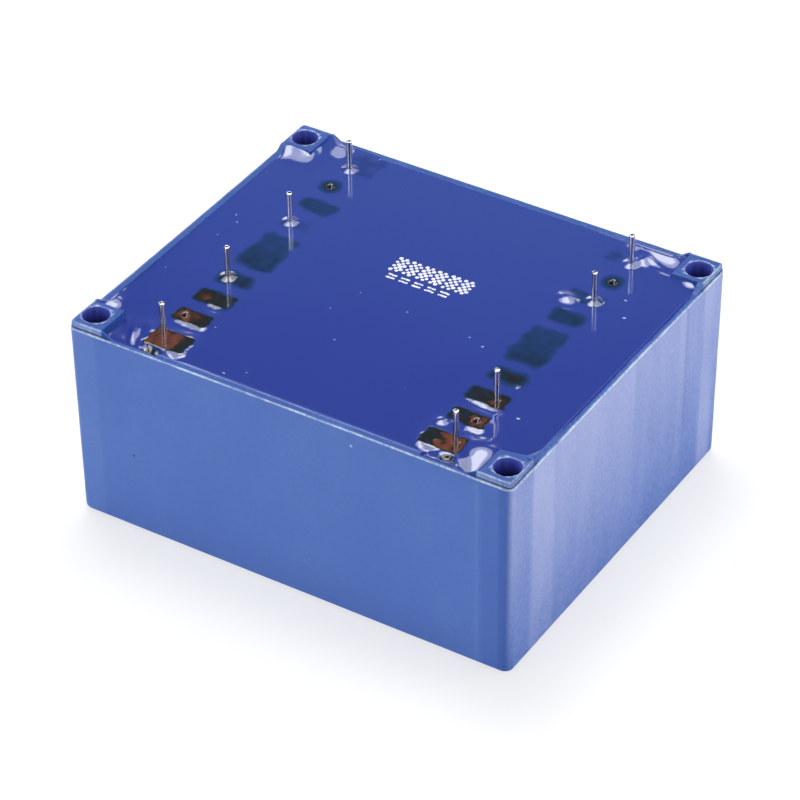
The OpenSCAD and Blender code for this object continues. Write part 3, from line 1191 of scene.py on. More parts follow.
@dataclass
class ResinFill:
    """The cast resin: a level surface that climbs the walls, pads, blocks and pins.

    Attributes:
        front_drop: How far its level lies under the rim at the front wall.
        drop_length: Length over which that drop fades to a third.
        wall_reach: Distance over which its climb at a wall fades to a third.
        side_share: How much of the full climb it makes at the side walls.
        pin_slope: Steepness of the resin pulled up at a pin.
        pin_foot: How far from a pin that resin reaches; dry_foot where it holds less.
        block_out: How far the blocks reach outwards from the row's axis.
        row_inner: How far the combs reach inwards from it.
        boss_h: Height of the low boss about a terminal place, of radius boss_r.
        veil_ramp: Length over which the resin that lies on a block's far part comes in.
        deep_share: Thickness that the resin gains over the blurred edge of a deep block.
        open_holes: Open terminal places: row, place and depth.
        hole_edge: Distances from an open place's centre over which its side rises.
        hole_ring: Height, radius and half width of the low ring about it.
        fan: Resin pulled up at the rear wall, beside the left pad.
        swells: Drops, tongues and hollows in the surface.
        pockets: Sharp hollows beside the front pins, painted dark: the former's brown, darkened as shade.
        pin_zone: Half sides of the fine grid about a pin, with steps of pin_steps.
    """

    plan: Plan = PLAN
    front_drop: float = 0.70
    drop_length: float = 22.0
    calm: float = 0.005
    wall_reach: float = 0.35
    side_share: float = 0.35
    pad_rise: float = 0.12
    pad_reach: float = 0.5
    pin_r: float = 0.4
    pin_slope: float = 0.38
    pin_foot: float = 0.95
    dry_foot: float = 0.16
    pin_soft: float = 0.07
    pin_ripple: float = 0.004
    block_top_z: float = 30.10
    block_reach: float = 0.5
    block_out: float = 1.4
    block_corner: float = 0.45
    boss_h: float = 0.015
    boss_r: float = 1.3
    veil_ramp: float = 1.4
    deep_share: float = 0.34
    deep_corner: float = 0.9
    pocket_shade_film: float = 0.06
    pocket_full: float = 0.22
    coarse: float = 1.1
    row_step: float = 0.18
    outer_step: float = 0.22
    corner_step: float = 0.2
    row_inner: float = 4.2
    row_margin: float = 1.2
    pin_zone: Pair = (1.6, 1.4)
    pin_steps: Pair = (0.1, 0.11)
    between: float = 0.19
    cast_gap: float = 0.02
    left_pins: tuple[int, ...] = (0, 3, 6, 9)
    right_pins: tuple[int, ...] = (0, 2, 7, 9)
    hole_edge: Pair = (0.2, 0.55)
    hole_ring: tuple[float, float, float] = (0.02, 0.75, 0.16)
    hole_dark: float = 0.45
    open_holes: tuple[tuple[int, int, float], ...] = (
        (-1, 1, 0.7), (1, 1, 0.7), (-1, 8, 0.9), (1, 8, 0.9))
    rim_gap: float = 0.04
    wall_lean: float = 0.45
    pad_near: float = 2.2
    edge_wander: float = 0.08
    shade_film: float = 0.055
    fan: Fan = Fan(-28.3, 29.0, 1.5, 6.1, -54.0, 2.3)
    swells: tuple[Swell, ...] = (
        Swell(-32.3, 23.6, 0.75, 4.4, 2.6, -4.0, 3.0),
        Swell(-33.6, 21.4, 0.4, 1.2, 1.7),
        Swell(-33.3, -20.0, 0.7, 2.0, 1.9, -40.0),
        Swell(23.5, 27.5, 1.0, 7.0, 1.9, -12.0),
        Swell(31.3, 23.6, 0.42, 1.0, 1.3, 10.0),
        Swell(25.0, 24.6, 0.14, 2.6, 0.4, -22.0),
        Swell(27.6, 23.2, 0.10, 2.2, 0.32, -6.0),
        Swell(23.5, 24.3, 0.40, 1.1, 1.0, -30.0),
        Swell(-25.2, -27.0, -0.45, 2.6, 2.8),
        Swell(-26.2, -24.6, 0.34, 2.2, 0.5, -62.0),
        Swell(-28.2, -22.6, 0.16, 1.1, 0.4, -62.0),
        Swell(-24.3, -23.0, 0.22, 1.2, 0.8, -75.0),
        Swell(-25.4, -22.2, 0.22, 1.5, 1.3),
        Swell(25.5, -21.9, 0.36, 2.2, 2.1),
        Swell(23.5, -26.3, 0.24, 1.9, 1.8, 0.0, 4.0),
        Swell(27.3, -27.8, -0.6, 1.5, 2.9),
        Swell(18.6, -20.0, 0.30, 0.8, 0.9, -30.0),
        Swell(21.3, -19.9, 0.10, 0.9, 0.9, 0.0, 4.0),
        Swell(23.3, -8.9, 0.10, 0.35, 0.35),
        Swell(19.5, 4.7, 0.08, 1.4, 0.32, 4.0),
        Swell(20.1, 9.5, 0.08, 1.7, 0.32, 10.0),
        Swell(18.9, 11.5, 0.42, 1.4, 1.1),
        Swell(-20.5, -19.8, -0.28, 2.3, 0.95, 3.0),
        Swell(-20.0, -14.6, -0.26, 1.3, 0.7),
        Swell(-20.9, -26.4, -0.22, 0.6, 0.6),
        Swell(-18.4, -26.8, -0.3, 0.9, 0.8),
        Swell(20.0, -26.2, -0.26, 0.8, 0.7),
        Swell(23.9, -20.1, -0.30, 1.3, 0.85),
        Swell(21.9, -14.9, -0.23, 2.7, 0.62, -4.0),
    )
    pockets: tuple[Swell, ...] = (
        Swell(-22.1, -26.5, 0.55, 1.15, 0.5),
        Swell(23.2, -26.2, 0.55, 0.95, 0.55),
    )
    blocks: list[Block] = field(default_factory=list)

    def __post_init__(self) -> None:
        """Lists the blocks, front to rear: left row, then right row."""
        if self.blocks:
            return
        lifts = {-1: (0.0, 0.0, 0.0, 0.0, 0.03, 0.0, -0.10, 0.08, -0.15, -0.02),
                 1: (0.0, 0.02, 0.0, 0.03, 0.03, 0.02, 0.10, 0.10, -0.15, -0.02)}
        veils = {-1: (0.06, 0.035, 0.045, 0.03, 0.0, 0.0, 0.0, 0.0, 0.0, 0.0),
                 1: (0.06, 0.05, 0.05, 0.03, 0.0, 0.0, 0.0, -0.1, 0.0, -0.1)}
        clears = {-1: (2.4, 1.0, 0.3, 0.5, 0.5, 0.5, 0.5, 0.5, 0.5, 0.5),
                  1: (1.6, 0.1, 0.3, 0.5, 0.5, 0.5, 0.5, 0.5, 0.5, 0.5)}
        inners = (4.5, 3.8, 4.1, 3.7, 4.2, 4.2, 3.6, 4.0, 3.6, 4.2)
        for side in (-1, 1):
            for place in range(self.plan.places):
                y = self.plan.place_y(place)
                half = 1.35 if place < 4 else 1.5
                front, rear = y - half, y + half
                if place == 0:
                    front, rear = (-25.6 if side < 0 else -25.2), y + 1.1
                elif place == 4:
                    front, rear = y - 1.75, -0.3
                elif place == 5:
                    front, rear = 0.3, y + 1.75
                elif place == 9:
                    front, rear = y - 1.1, 27.2
                self.blocks.append(Block(
                    side, place, front, rear, inners[place], lifts[side][place], veils[side][place],
                    clears[side][place], (2.0, 1.4, 0.8, 0.3)[min(place, 3)],
                    (0.017, 0.028, 0.036)[min(place, 2)]))

    def level(self, x: Array, y: Array) -> Array:
        """Height of the free surface: a drop that fades with the distance from the front wall."""
        drop = self.front_drop * np.exp(-(y + self.plan.half_w) / self.drop_length)
        return self.plan.rim_h - drop + self.calm * ripple(x, y, 16.0, 21)

    def pins(self) -> list[tuple[float, float, float]]:
        """Axis of each pin, and how far the resin that it draws up reaches from it."""
        return [(side * self.plan.row_x, self.plan.place_y(n), self.dry_foot if n < 3 else self.pin_foot)
                for side, places in ((-1, self.left_pins), (1, self.right_pins)) for n in places]

    def block_top(self, block: Block, x: Array, y: Array) -> Array:
        """Height of a block's top, with a low boss about its place."""
        around = np.hypot(x - block.side * self.plan.row_x, y - self.plan.place_y(block.place))
        return self.block_top_z + block.lift + self.boss_h * np.exp(-(around / self.boss_r) ** 4)

    def outline(self, block: Block) -> Box:
        """A block's rectangle in plan."""
        axis = self.plan.row_x
        ends = sorted((block.side * (axis - block.inner), block.side * (axis + self.block_out)))
        return (*ends, block.front, block.rear)

    def _climb(self, x: Array, y: Array) -> Array:
        """Height of the resin with its swells, its fan and its climb at walls and pads.

        A wall or a pad is climbed by rise exp(-d / reach) at the distance d. At a wall,
        nothing stands higher than the rim by more than a lean times d, or the pad's
        height more beside a pad.

        Args:
            x: Positions along X.
            y: Positions along Y.

        Returns:
            The height.
        """
        p = self.plan
        free = self.level(x, y)
        ax, ay = np.abs(x), np.abs(y)
        to_side = np.maximum(p.half_l - p.wall - ax, 0.0)
        to_end = np.maximum(p.wall_inside_y(x) - ay, 0.0)
        wall = self.side_share * np.exp(-to_side / self.wall_reach) + np.exp(-to_end / self.wall_reach)
        room = p.rim_h - self.rim_gap - free
        column = (p.half_l - p.pad_l, p.half_l, p.half_w - p.pad_w, p.half_w)
        pad = np.maximum(box_distance(ax, ay, column, 0.5), 0.0)
        z = free + np.minimum(wall, 1.0) * room + self.pad_rise * np.exp(-pad / self.pad_reach)
        for hump in (*self.swells, self.fan):
            z = z + hump.rise(x, y)
        near_pad = ease(self.pad_near - pad, 0.0, self.pad_near) * p.pad_h
        return np.minimum(z, p.rim_h - 0.02 + near_pad + self.wall_lean * np.minimum(to_side, to_end))

    def _coat(self, z: Array, x: Array, y: Array) -> tuple[Array, Array]:
        """Covers the blocks and works out how thick the resin lies over them.

        A block that stands proud is covered by its skin and veil, which fall to the level by
        exp(-d / reach). Block edges wander by a ripple; the blocks that lie deep have
        blurred edges, as if the resin grew thicker over a wide band, and the middle two are
        blurred across the gap between the formers as well.

        Args:
            z: Height of the resin so far.
            x: Positions along X.
            y: Positions along Y.

        Returns:
            The height and the thickness.
        """
        film = np.full(x.shape, 1.0)
        wander = self.edge_wander * ripple(x, y, 2.0, 51)
        drift = self.edge_wander * ripple(x, y, 3.2, 57)
        for block in self.blocks:
            low, high, front, rear = self.outline(block)
            distance = box_distance(x, y, (low, high, front, rear), self.block_corner) + wander
            top = self.block_top(block, x, y)
            inward = (block.side * self.plan.row_x - x) * block.side + 4.0 * wander
            cover = ease(inward, block.clear, block.clear + self.veil_ramp)
            veil = block.skin + max(block.veil, 0.0) * cover
            proud = np.maximum(top + veil - z, 0.0)
            z = z + proud * np.exp(-np.maximum(distance, 0.0) / self.block_reach)
            deeper = -min(block.veil, 0.0) * (1.0 - ease(inward, 1.0, 2.5))
            if block.soft < 0.5:
                shade = (low, high, -0.9 if block.place == 5 else front, 0.9 if block.place == 4 else rear)
                blur = box_distance(x, y, shade, self.deep_corner) + 2.2 * drift
                edge = ease(blur, -0.7, 0.9) * self.deep_share + np.maximum(blur - 0.6, 0.0)
            else:
                edge = block.soft * np.maximum(distance, 0.0)
                edge = edge + 0.022 * ease(distance, -self.block_corner, 0.0)
            film = np.minimum(film, np.maximum(z - top + deeper + edge, 0.0))
        return z, film

    def _draw_up(self, z: Array, x: Array, y: Array) -> Array:
        """Draws the resin up at each pin, by a slope times the soft part of foot - d.

        Args:
            z: Height of the resin so far.
            x: Positions along X.
            y: Positions along Y.

        Returns:
            The height.
        """
        rough = self.pin_ripple * ripple(x, y, 2.2, 61)
        for cx, cy, foot in self.pins():
            d = np.hypot(x - cx, y - cy) - self.pin_r
            z = z + rough * bell(d, 1.2) * ease(d, 0.3, 1.0)
            z = z + self.pin_slope * soft_part(foot - np.maximum(d, 0.0), self.pin_soft)
        return z

    def _pit(self, z: Array, film: Array, x: Array, y: Array) -> tuple[Array, Array]:
        """Sinks the pockets and the open terminal places, which are painted dark as shade.

        A low ring stands about each open place. The resin stays thin all round the rear
        ones; the front ones are painted dark, as shade, only inside.

        Args:
            z: Height of the resin so far.
            film: Thickness of the resin over the blocks.
            x: Positions along X.
            y: Positions along Y.

        Returns:
            The height and the thickness.
        """
        for pocket in self.pockets:
            dip = pocket.rise(x, y) * (1.0 + 0.3 * ripple(x, y, 1.5, 41))
            z = z - dip
            # painted shade: the pockets get a thin film, so they show dark
            share = np.maximum(self.pocket_full - dip, 0.0) / self.pocket_full
            film = np.minimum(film, self.pocket_shade_film + 0.5 * share)
        ring_h, ring_r, ring_w = self.hole_ring
        for side, place, depth in self.open_holes:
            r = np.hypot(x - side * self.plan.row_x, y - self.plan.place_y(place))
            z = z - depth * (1.0 - ease(r, *self.hole_edge)) + ring_h * bell(r - ring_r, ring_w)
            # painted shade inside the open places
            dark = self.shade_film + 0.14 * (r / 1.2) ** 2
            film = np.minimum(film, dark) if place == 8 else np.where(
                r < self.hole_dark, self.shade_film, film)
        return z, film

    def surface(self, x: Array, y: Array) -> tuple[Array, Array]:
        """Height of the resin, and how thick it lies over the nearest block.

        Args:
            x: Positions along X.
            y: Positions along Y.

        Returns:
            The height and the thickness.
        """
        z, film = self._coat(self._climb(x, y), x, y)
        z, film = self._pit(self._draw_up(z, x, y), film, x, y)
        film = film * (1.0 + 0.08 * ripple(x, y, 2.6, 33)) + 0.012 * ripple(x, y, 1.5, 31)
        return np.minimum(z, self.plan.seat_z - 0.05), np.clip(film, 0.0, 1.0)

    def build(self, material: bpy.types.Material) -> None:
        """Makes the resin as a slab under its surface, with notches for the corner columns.

        Args:
            material: The resin.
        """
        p = self.plan
        side, end = p.half_l - p.wall, p.half_w - p.wall
        edge_x, edge_y = p.half_l - p.pad_l, p.half_w - p.pad_w
        relief = edge_x - p.relief_l
        start = p.row_x - self.row_inner - self.row_margin
        zone_x, zone_y = self.pin_zone
        step_x, step_y = self.pin_steps
        xs = mirrored(grid_lines([
            (0.0, start, self.coarse), (start, p.row_x - zone_x, self.row_step),
            (p.row_x - zone_x, p.row_x + zone_x, step_x), (p.row_x + zone_x, edge_x, self.outer_step),
            (edge_x, side, self.corner_step)], [relief, edge_x]))
        fine = sorted({p.place_y(n) for n in self.left_pins + self.right_pins})
        spans = [(c - zone_y, c + zone_y, step_y) for c in fine]
        stops = [-end - p.relief_t, *[v for c in fine for v in (c - zone_y, c + zone_y)], end + p.relief_t]
        spans += [(stops[k], stops[k + 1], self.between) for k in range(0, len(stops) - 1, 2)]
        ys = grid_lines(spans, [-end, end, -edge_y, edge_y])
        x, y = lattice(xs, ys)
        mid_x, mid_y = np.abs(xs[1:] + xs[:-1]) / 2, np.abs(ys[1:] + ys[:-1]) / 2
        cx, cy = lattice(mid_x, mid_y)
        mask = ~((cx > edge_x) & (cy > edge_y)) & (cy < p.wall_inside_y(cx))
        z, film = self.surface(x, y)
        settled_x, settled_y = p.settle(x, y, np.full(x.shape, p.rim_h))
        bottom = np.full(z.shape, p.floor + self.cast_gap)
        points, faces, source = slab(settled_x, settled_y, z, bottom, mask)
        piece = put_mesh("resin_fill", points, faces, material, {"film": film.ravel()[source]}, 60.0)
        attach(piece, "root")
        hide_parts("resin")
        report(piece)


@dataclass
class Comb:
    """A comb of five terminal blocks on a bar, at one end of a coil former.

    Attributes:
        node: The comb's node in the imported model.
        side: -1 in the left row, 1 in the right row.
        first: Place of its first block in the row.
        fill: The resin, which has the blocks' places and covers them.
        bar_in: How far the bar reaches inwards from the row's axis.
        hole_r: Radius of a terminal's hole.
        ring_in: Half side of the grid square that is bent into a hole.
        ring_out: Half side of the square from which the grid is unchanged.
        cover: Least thickness of resin over a block.
        sliver: Distance between the two grid lines at a sudden step.
    """

    node: str
    side: int
    first: int
    fill: ResinFill
    bar_top: float = 27.65
    bar_h: float = 4.0
    bar_in: float = 0.77
    hole_r: float = 0.47
    hole_depth: float = 1.35
    ring_in: float = 0.42
    ring_out: float = 0.85
    edge_r: float = 0.2
    cover: float = 0.01
    sliver: float = 0.01
    hole_step: float = 0.14
    ring_step: float = 0.22
    block_step: float = 0.4
    outer_step: float = 0.2

    def build(self, material: bpy.types.Material) -> None:
        """Makes the comb as a slab whose top steps from the bar up to the blocks.

        Args:
            material: The former's compound.
        """
        p, fill = PLAN, self.fill
        blocks = [b for b in fill.blocks if b.side == self.side and self.first <= b.place < self.first + 5]
        axis, ring_in, ring_out = p.row_x, self.ring_in, self.ring_out
        offsets = grid_lines([(-ring_in, ring_in, self.hole_step), (-ring_out, ring_out, self.ring_step)],
                             [-ring_in - self.sliver, ring_in + self.sliver])
        xs = grid_lines([(axis - fill.row_inner, axis - ring_out, self.block_step),
                         (axis + ring_out, axis + fill.block_out, self.outer_step)],
                        [*(axis + offsets), axis - self.bar_in, axis - self.bar_in - self.sliver])
        xs = xs * self.side if self.side > 0 else -xs[::-1]
        spans = [(b.front, b.rear, self.block_step) for b in blocks]
        middles = [p.place_y(b.place) for b in blocks]
        extra = [v for m in middles for v in m + offsets]
        extra += [v for b in blocks for v in (b.front - self.sliver, b.rear + self.sliver)]
        ys = grid_lines(spans, extra)
        ys = ys[(ys >= min(b.front for b in blocks) - TINY) & (ys <= max(b.rear for b in blocks) + TINY)]
        x, y = lattice(xs, ys)
        top = np.full(x.shape, self.bar_top)
        covered = np.zeros(x.shape, dtype=bool)
        for block in blocks:
            on = (y >= block.front - TINY) & (y <= block.rear + TINY)
            depth = -box_distance(x, y, fill.outline(block))
            plane = fill.block_top(block, x, y) - edge_round(depth, self.edge_r)
            top = np.where(on, plane, top)
            covered |= on
        inside = np.zeros(x.shape, dtype=bool)
        for middle in middles:
            x, y, offset = ring_warp(x, y, (self.side * axis, middle), ring_in, ring_out, self.hole_r)
            inside |= offset <= ring_in + TINY
        z_resin, _ = fill.surface(x, y)
        top = np.where(inside, self.bar_top - self.hole_depth, np.minimum(top, z_resin - self.cover))
        on_bar = np.abs(x) - axis >= -self.bar_in - TINY
        bottom = np.where(on_bar, self.bar_top - self.bar_h, self.bar_top - 0.001)
        mask = whole_cells(covered) | whole_cells(on_bar)
        points, faces, _ = slab(x, y, np.maximum(top, bottom + 0.02), bottom, mask)
        piece = put_mesh(self.node + "_body", points, faces, material)
        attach(piece, "root")
        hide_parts(self.node)
        report(piece)


@dataclass
class CornerWeb:
    """A thin web of the case's plastic between one pad's rear edge and the wall beside it.

    Attributes:
        fill: The resin that the web rises from.
        start: Lowest X.
        end: Highest X.
        rear: Y of its rear edge at the wall, before lap and skew.
        bend: Power of the curve that its rear edge follows.
        depth: How far it goes down below the rim.
        lap: A small overlap, with the pad and with the resin.
        skew: How much further back its rear edge lies all along.
        foot: Length over which its crest sinks from the pad to the rim.
        ramp: How far the crest starts under the pad's seat, and the pad height it keeps.
    """

    fill: ResinFill
    start: float = 28.4
    end: float = 32.95
    rear: float = -17.6
    bend: float = 2.4
    depth: float = 1.2
    lap: float = 0.03
    skew: float = 0.25
    foot: float = 2.3
    ramp: Pair = (0.12, 0.1)
    steps: int = 28

    def build(self, material: bpy.types.Material) -> None:
        """Makes the web as a wedge on a curved outline.

        At the place t from 0 to 1 along X, it reaches from the pad's edge back to the Y of
        edge + (rear - edge) t^bend, and a little more. Along that reach its top falls from
        a crest to just under the resin; the crest itself sinks from the pad's height to the
        rim's, by a smooth step over the foot's length.

        Args:
            material: The case's plastic.
        """
        p = PLAN
        edge = -(p.half_w - p.pad_w) - 0.05
        t, q = lattice(np.linspace(0.0, 1.0, self.steps), np.linspace(0.0, 1.0, self.steps // 2))
        x = self.start + (self.end - self.start) * t
        y = edge + self.lap + (self.rear - edge) * t ** self.bend * q + self.skew * q
        resin, _ = self.fill.surface(x, y)
        below, left = self.ramp
        crest = p.seat_z - below - (p.pad_h - left) * ease(y, edge, edge + self.foot)
        top = resin - self.lap + (crest - resin + self.lap) * (1.0 - ease(q, 0.35, 1.0))
        mask = np.ones((self.steps - 1, self.steps // 2 - 1), dtype=bool)
        settled_x, settled_y = p.settle(x, y, top)
        points, faces, _ = slab(settled_x, settled_y, top, np.full(top.shape, p.rim_h - self.depth), mask)
        # the web counts as a flat, so it takes the flats' painted shade
        marks = ("side", "hole", "edge", "upper", "crease")
        piece = put_mesh("corner_web", points, faces, material, {
            key: np.full(len(points), float(key == "upper")) for key in marks})
        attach(piece, "root")
        report(piece)


# ---------------------------------------------------------------- pins

@dataclass
class SolderPin:
    """A tinned round pin on a square root.

    Attributes:
        node: The pin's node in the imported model.
        x: X of its axis.
        y: Y of its axis.
        bare: How bare its cut end is, from 0 to 1.
        root: Half side of the square root.
        tip: Depths below the tip, with the radius at each.
        face_fade: Depths below the tip over which the bare end face ends.
        smear_from: Depths over which a band of smeared copper starts; it ends over smear_to.
        smear: How bare that band is.
    """

    node: str
    x: float
    y: float
    bare: float
    radius: float = 0.4
    root: float = 0.32
    root_z: float = 26.15
    shoulder_z: float = 30.0
    tip_z: float = 35.15
    bevel: float = 0.12
    collar_h: float = 0.06
    collar_share: float = 0.94
    tip: tuple[Pair, ...] = ((0.07, 0.388), (0.04, 0.358), (0.024, 0.32), (0.007, 0.16), (0.0, 0.001))
    unevenness: float = 0.004
    face_fade: Pair = (0.01, 0.03)
    smear_from: Pair = (0.08, 0.11)
    smear_to: Pair = (0.14, 0.34)
    smear: float = 0.62
    straight: int = 14
    around: int = 32

    def build(self, material: bpy.types.Material) -> None:
        """Makes the pin as a section carried up its axis.

        The section's radius at angle a is root / max(|cos a|, |sin a|) in the square root
        and the profile's own radius above it. The profile swells a little by a sine of the
        height, and its last places are given as depths below the tip with their radii.

        Args:
            material: The pin's metal.
        """
        depths, ends = np.array(self.tip).T
        heights = np.concatenate([
            [self.root_z, self.shoulder_z, self.shoulder_z + self.collar_h],
            np.linspace(self.shoulder_z + self.bevel, self.tip_z - self.bevel, self.straight),
            self.tip_z - depths])
        swell = self.unevenness * np.sin(np.linspace(0.0, 9.0, self.straight) + self.x + self.y)
        collar = self.radius * self.collar_share
        radii = np.concatenate([[0.0, 0.0, collar], self.radius + swell, ends])[:, None]
        angle = np.linspace(0.0, 2.0 * np.pi, self.around, endpoint=False) + np.pi / 4
        square = self.root / np.maximum(np.abs(np.cos(angle)), np.abs(np.sin(angle)))
        rows = np.where(radii > 0.0, radii * np.ones(self.around), square)
        z = np.repeat(heights[:, None], self.around, axis=1)
        points = np.concatenate([
            points_of(self.x + rows * np.cos(angle), self.y + rows * np.sin(angle), z),
            [[self.x, self.y, self.root_z], [self.x, self.y, self.tip_z]]])
        count, last = z.size, z.size - self.around
        even = np.arange(0, self.around, 2)
        odd, after = even + 1, (even + 2) % self.around
        foot, head = np.full(even.shape, count), np.full(even.shape, count + 1)
        faces = np.concatenate([tube_faces(len(heights), self.around), quads_of(foot, after, odd, even),
                                quads_of(head, last + even, last + odd, last + after)])
        below = self.tip_z - points[:, 2]
        band = (1.0 - ease(below, *self.smear_to)) * ease(below, *self.smear_from)
        cut = self.bare * np.maximum(self.smear * band, 1.0 - ease(below, *self.face_fade))
        piece = put_mesh(self.node + "_wire", points, faces, material, {"bare": cut}, 28.0)
        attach(piece, "root")
        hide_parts(self.node)
        report(piece)


# ---------------------------------------------------------------- ink marks and dust

def dome_cluster(centres: Array, base: Array, sizes: Array, height: Array,
                 turns: Array) -> tuple[Array, Array]:
    """Many low closed domes.

    A dome's rings lie at radius cos(a) and height sin(a), for a of 0, 35 and 65 degrees; a
    ring below and a narrow one on top close it.

    Args:
        centres: X and Y of each dome.
        base: Height that each dome stands on.
        sizes: Half length and half width of each dome.
        height: Height of each dome.
        turns: Angle of each dome's length, in radians.

    Returns:
        Points and four-sided faces.
    """
    sides = 10
    angle = np.linspace(0.0, 2.0 * np.pi, sides, endpoint=False)
    tilt = np.radians([0.0, 35.0, 65.0])
    ring_r = np.concatenate([[1.0], np.cos(tilt), [0.02]])
    ring_z = np.concatenate([[-0.6], np.sin(tilt), [1.0]])
    u = (ring_r[:, None] * np.cos(angle)).ravel()
    v = (ring_r[:, None] * np.sin(angle)).ravel()
    px, py = u * sizes[:, :1], v * sizes[:, 1:]
    x = centres[:, :1] + px * np.cos(turns[:, None]) - py * np.sin(turns[:, None])
    y = centres[:, 1:] + px * np.sin(turns[:, None]) + py * np.cos(turns[:, None])
    z = base[:, None] + np.repeat(ring_z, sides) * height[:, None]
    fan = np.arange(0, sides - 2, 2)
    cap = quads_of(np.zeros(len(fan), int), fan + 1, fan + 2, fan + 3) % sides
    upper = cap + (len(ring_r) - 1) * sides
    one = np.concatenate([tube_faces(len(ring_r), sides), cap[:, [0, 3, 2, 1]], upper])
    faces = (one[None] + (np.arange(len(centres)) * u.size)[:, None, None]).reshape(-1, 4)
    return points_of(x, y, z), faces


class MarkRow(Enum):
    """Ways to fill a row of marks with dots of ink."""

    CHECKER = "checker"
    DASHES = "dashes"


@dataclass
class InkMarks:
    """Plain marks in white ink: a row of checkered squares over two broken lines."""

    fill: ResinFill
    left: float = -4.7
    low: float = 5.2
    dot: float = 0.29
    lower_dot: float = 0.2
    squares: int = 6
    square_pitch: float = 2.05
    dot_pitch: Pair = (0.44, 0.46)
    square_dots: tuple[int, int] = (4, 7)
    dashes: int = 5
    dash_dots: int = 4
    dash_gap: int = 2
    dash_pitch: Pair = (0.34, 0.7)
    dash_start: Pair = (0.5, 1.1)
    jitter: float = 0.025
    thickness: float = 0.022
    rows: tuple[MarkRow, ...] = (MarkRow.CHECKER, MarkRow.DASHES)

    def _spots(self, row: MarkRow) -> tuple[Array, float]:
        """Centres of a row's dots, and their half size.

        Args:
            row: How the row is filled.

        Returns:
            The centres and the half size.
        """
        if row is MarkRow.CHECKER:
            n, i, j = (v.ravel() for v in np.meshgrid(
                np.arange(self.squares), *(np.arange(dots) for dots in self.square_dots), indexing="ij"))
            across, up = self.dot_pitch
            spots = np.stack([self.left + n * self.square_pitch + i * across, self.low + j * up], axis=-1)
            return spots[(i + j) % 2 == 0], self.dot
        period = self.dash_dots + self.dash_gap
        i, j = (v.ravel() for v in lattice(np.arange(period * self.dashes), np.arange(2)))
        across, down = self.dash_pitch
        right, below = self.dash_start
        spots = np.stack([self.left + right + i * across, self.low - below - j * down], axis=-1)
        return spots[i % period < self.dash_dots], self.lower_dot

    def build(self, material: bpy.types.Material) -> None:
        """Makes the marks as low drops of ink on the resin.

        Args:
            material: The ink.
        """
        rng = np.random.default_rng(8)
        rows = [self._spots(row) for row in self.rows]
        centres = np.concatenate([spots for spots, _ in rows])
        half = np.concatenate([np.full(len(spots), size) for spots, size in rows])
        centres = centres + rng.normal(0.0, self.jitter, centres.shape)
        sizes = (half * rng.uniform(0.85, 1.15, len(half)))[:, None] * np.ones((1, 2))
        base, _ = self.fill.surface(centres[:, 0], centres[:, 1])
        points, faces = dome_cluster(
            centres, base, sizes, np.full(half.shape, self.thickness), np.zeros(half.shape))
        piece = put_mesh("ink_marks", points, faces, material, None, 80.0)
        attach(piece, "root")
        report(piece)


@dataclass
class Grains:
    """Grains of dust on the resin, at given places."""

    name: str
    fill: ResinFill
    places: tuple[tuple[float, float, float, float], ...]
    narrow: float = 0.42
    flat: float = 0.4

    def build(self, material: bpy.types.Material) -> None:
        """Makes the grains as small domes; each place has X, Y, half length and turn.

        Args:
            material: The dust.
        """
        spots = np.asarray(self.places)
        centres = spots[:, :2]
        base, _ = self.fill.surface(centres[:, 0], centres[:, 1])
        sizes = np.stack([spots[:, 2], spots[:, 2] * self.narrow], axis=-1)
        points, faces = dome_cluster(centres, base, sizes, spots[:, 2] * self.flat, np.radians(spots[:, 3]))
        piece = put_mesh(self.name, points, faces, material, None, 80.0)
        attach(piece, "root")
        report(piece)


# ---------------------------------------------------------------- studio

@dataclass(frozen=True)
class Softbox:
    """A rectangular lamp that faces the part.

    Attributes:
        name: The lamp's name.
        direction: Where it stands, as seen from the point that it faces.
        distance: Its distance from that point, in metres.
        width: Its width, in metres.
        height: Its height, in metres.
        radiance: How bright its face is.
        gloss_only: Whether it shows in reflections alone.
    """

    name: str
    direction: tuple[float, float, float]
    distance: float
    width: float
    height: float
    radiance: float
    gloss_only: bool = False

    def build(self, aim: Vector) -> None:
        """Adds the lamp; its power is radiance times pi times its area.

        Args:
            aim: The point that it faces.
        """
        data = bpy.data.lights.new(self.name, "AREA")
        data.shape = "RECTANGLE"
        data.size, data.size_y = self.width, self.height
        data.energy = self.radiance * math.pi * self.width * self.height
        lamp = bpy.data.objects.new(self.name, data)
        lamp.location = aim + Vector(self.direction).normalized() * self.distance
        lamp.rotation_euler = (aim - lamp.location).to_track_quat("-Z", "Y").to_euler()
        lamp.visible_diffuse = not self.gloss_only
        bpy.context.scene.collection.objects.link(lamp)


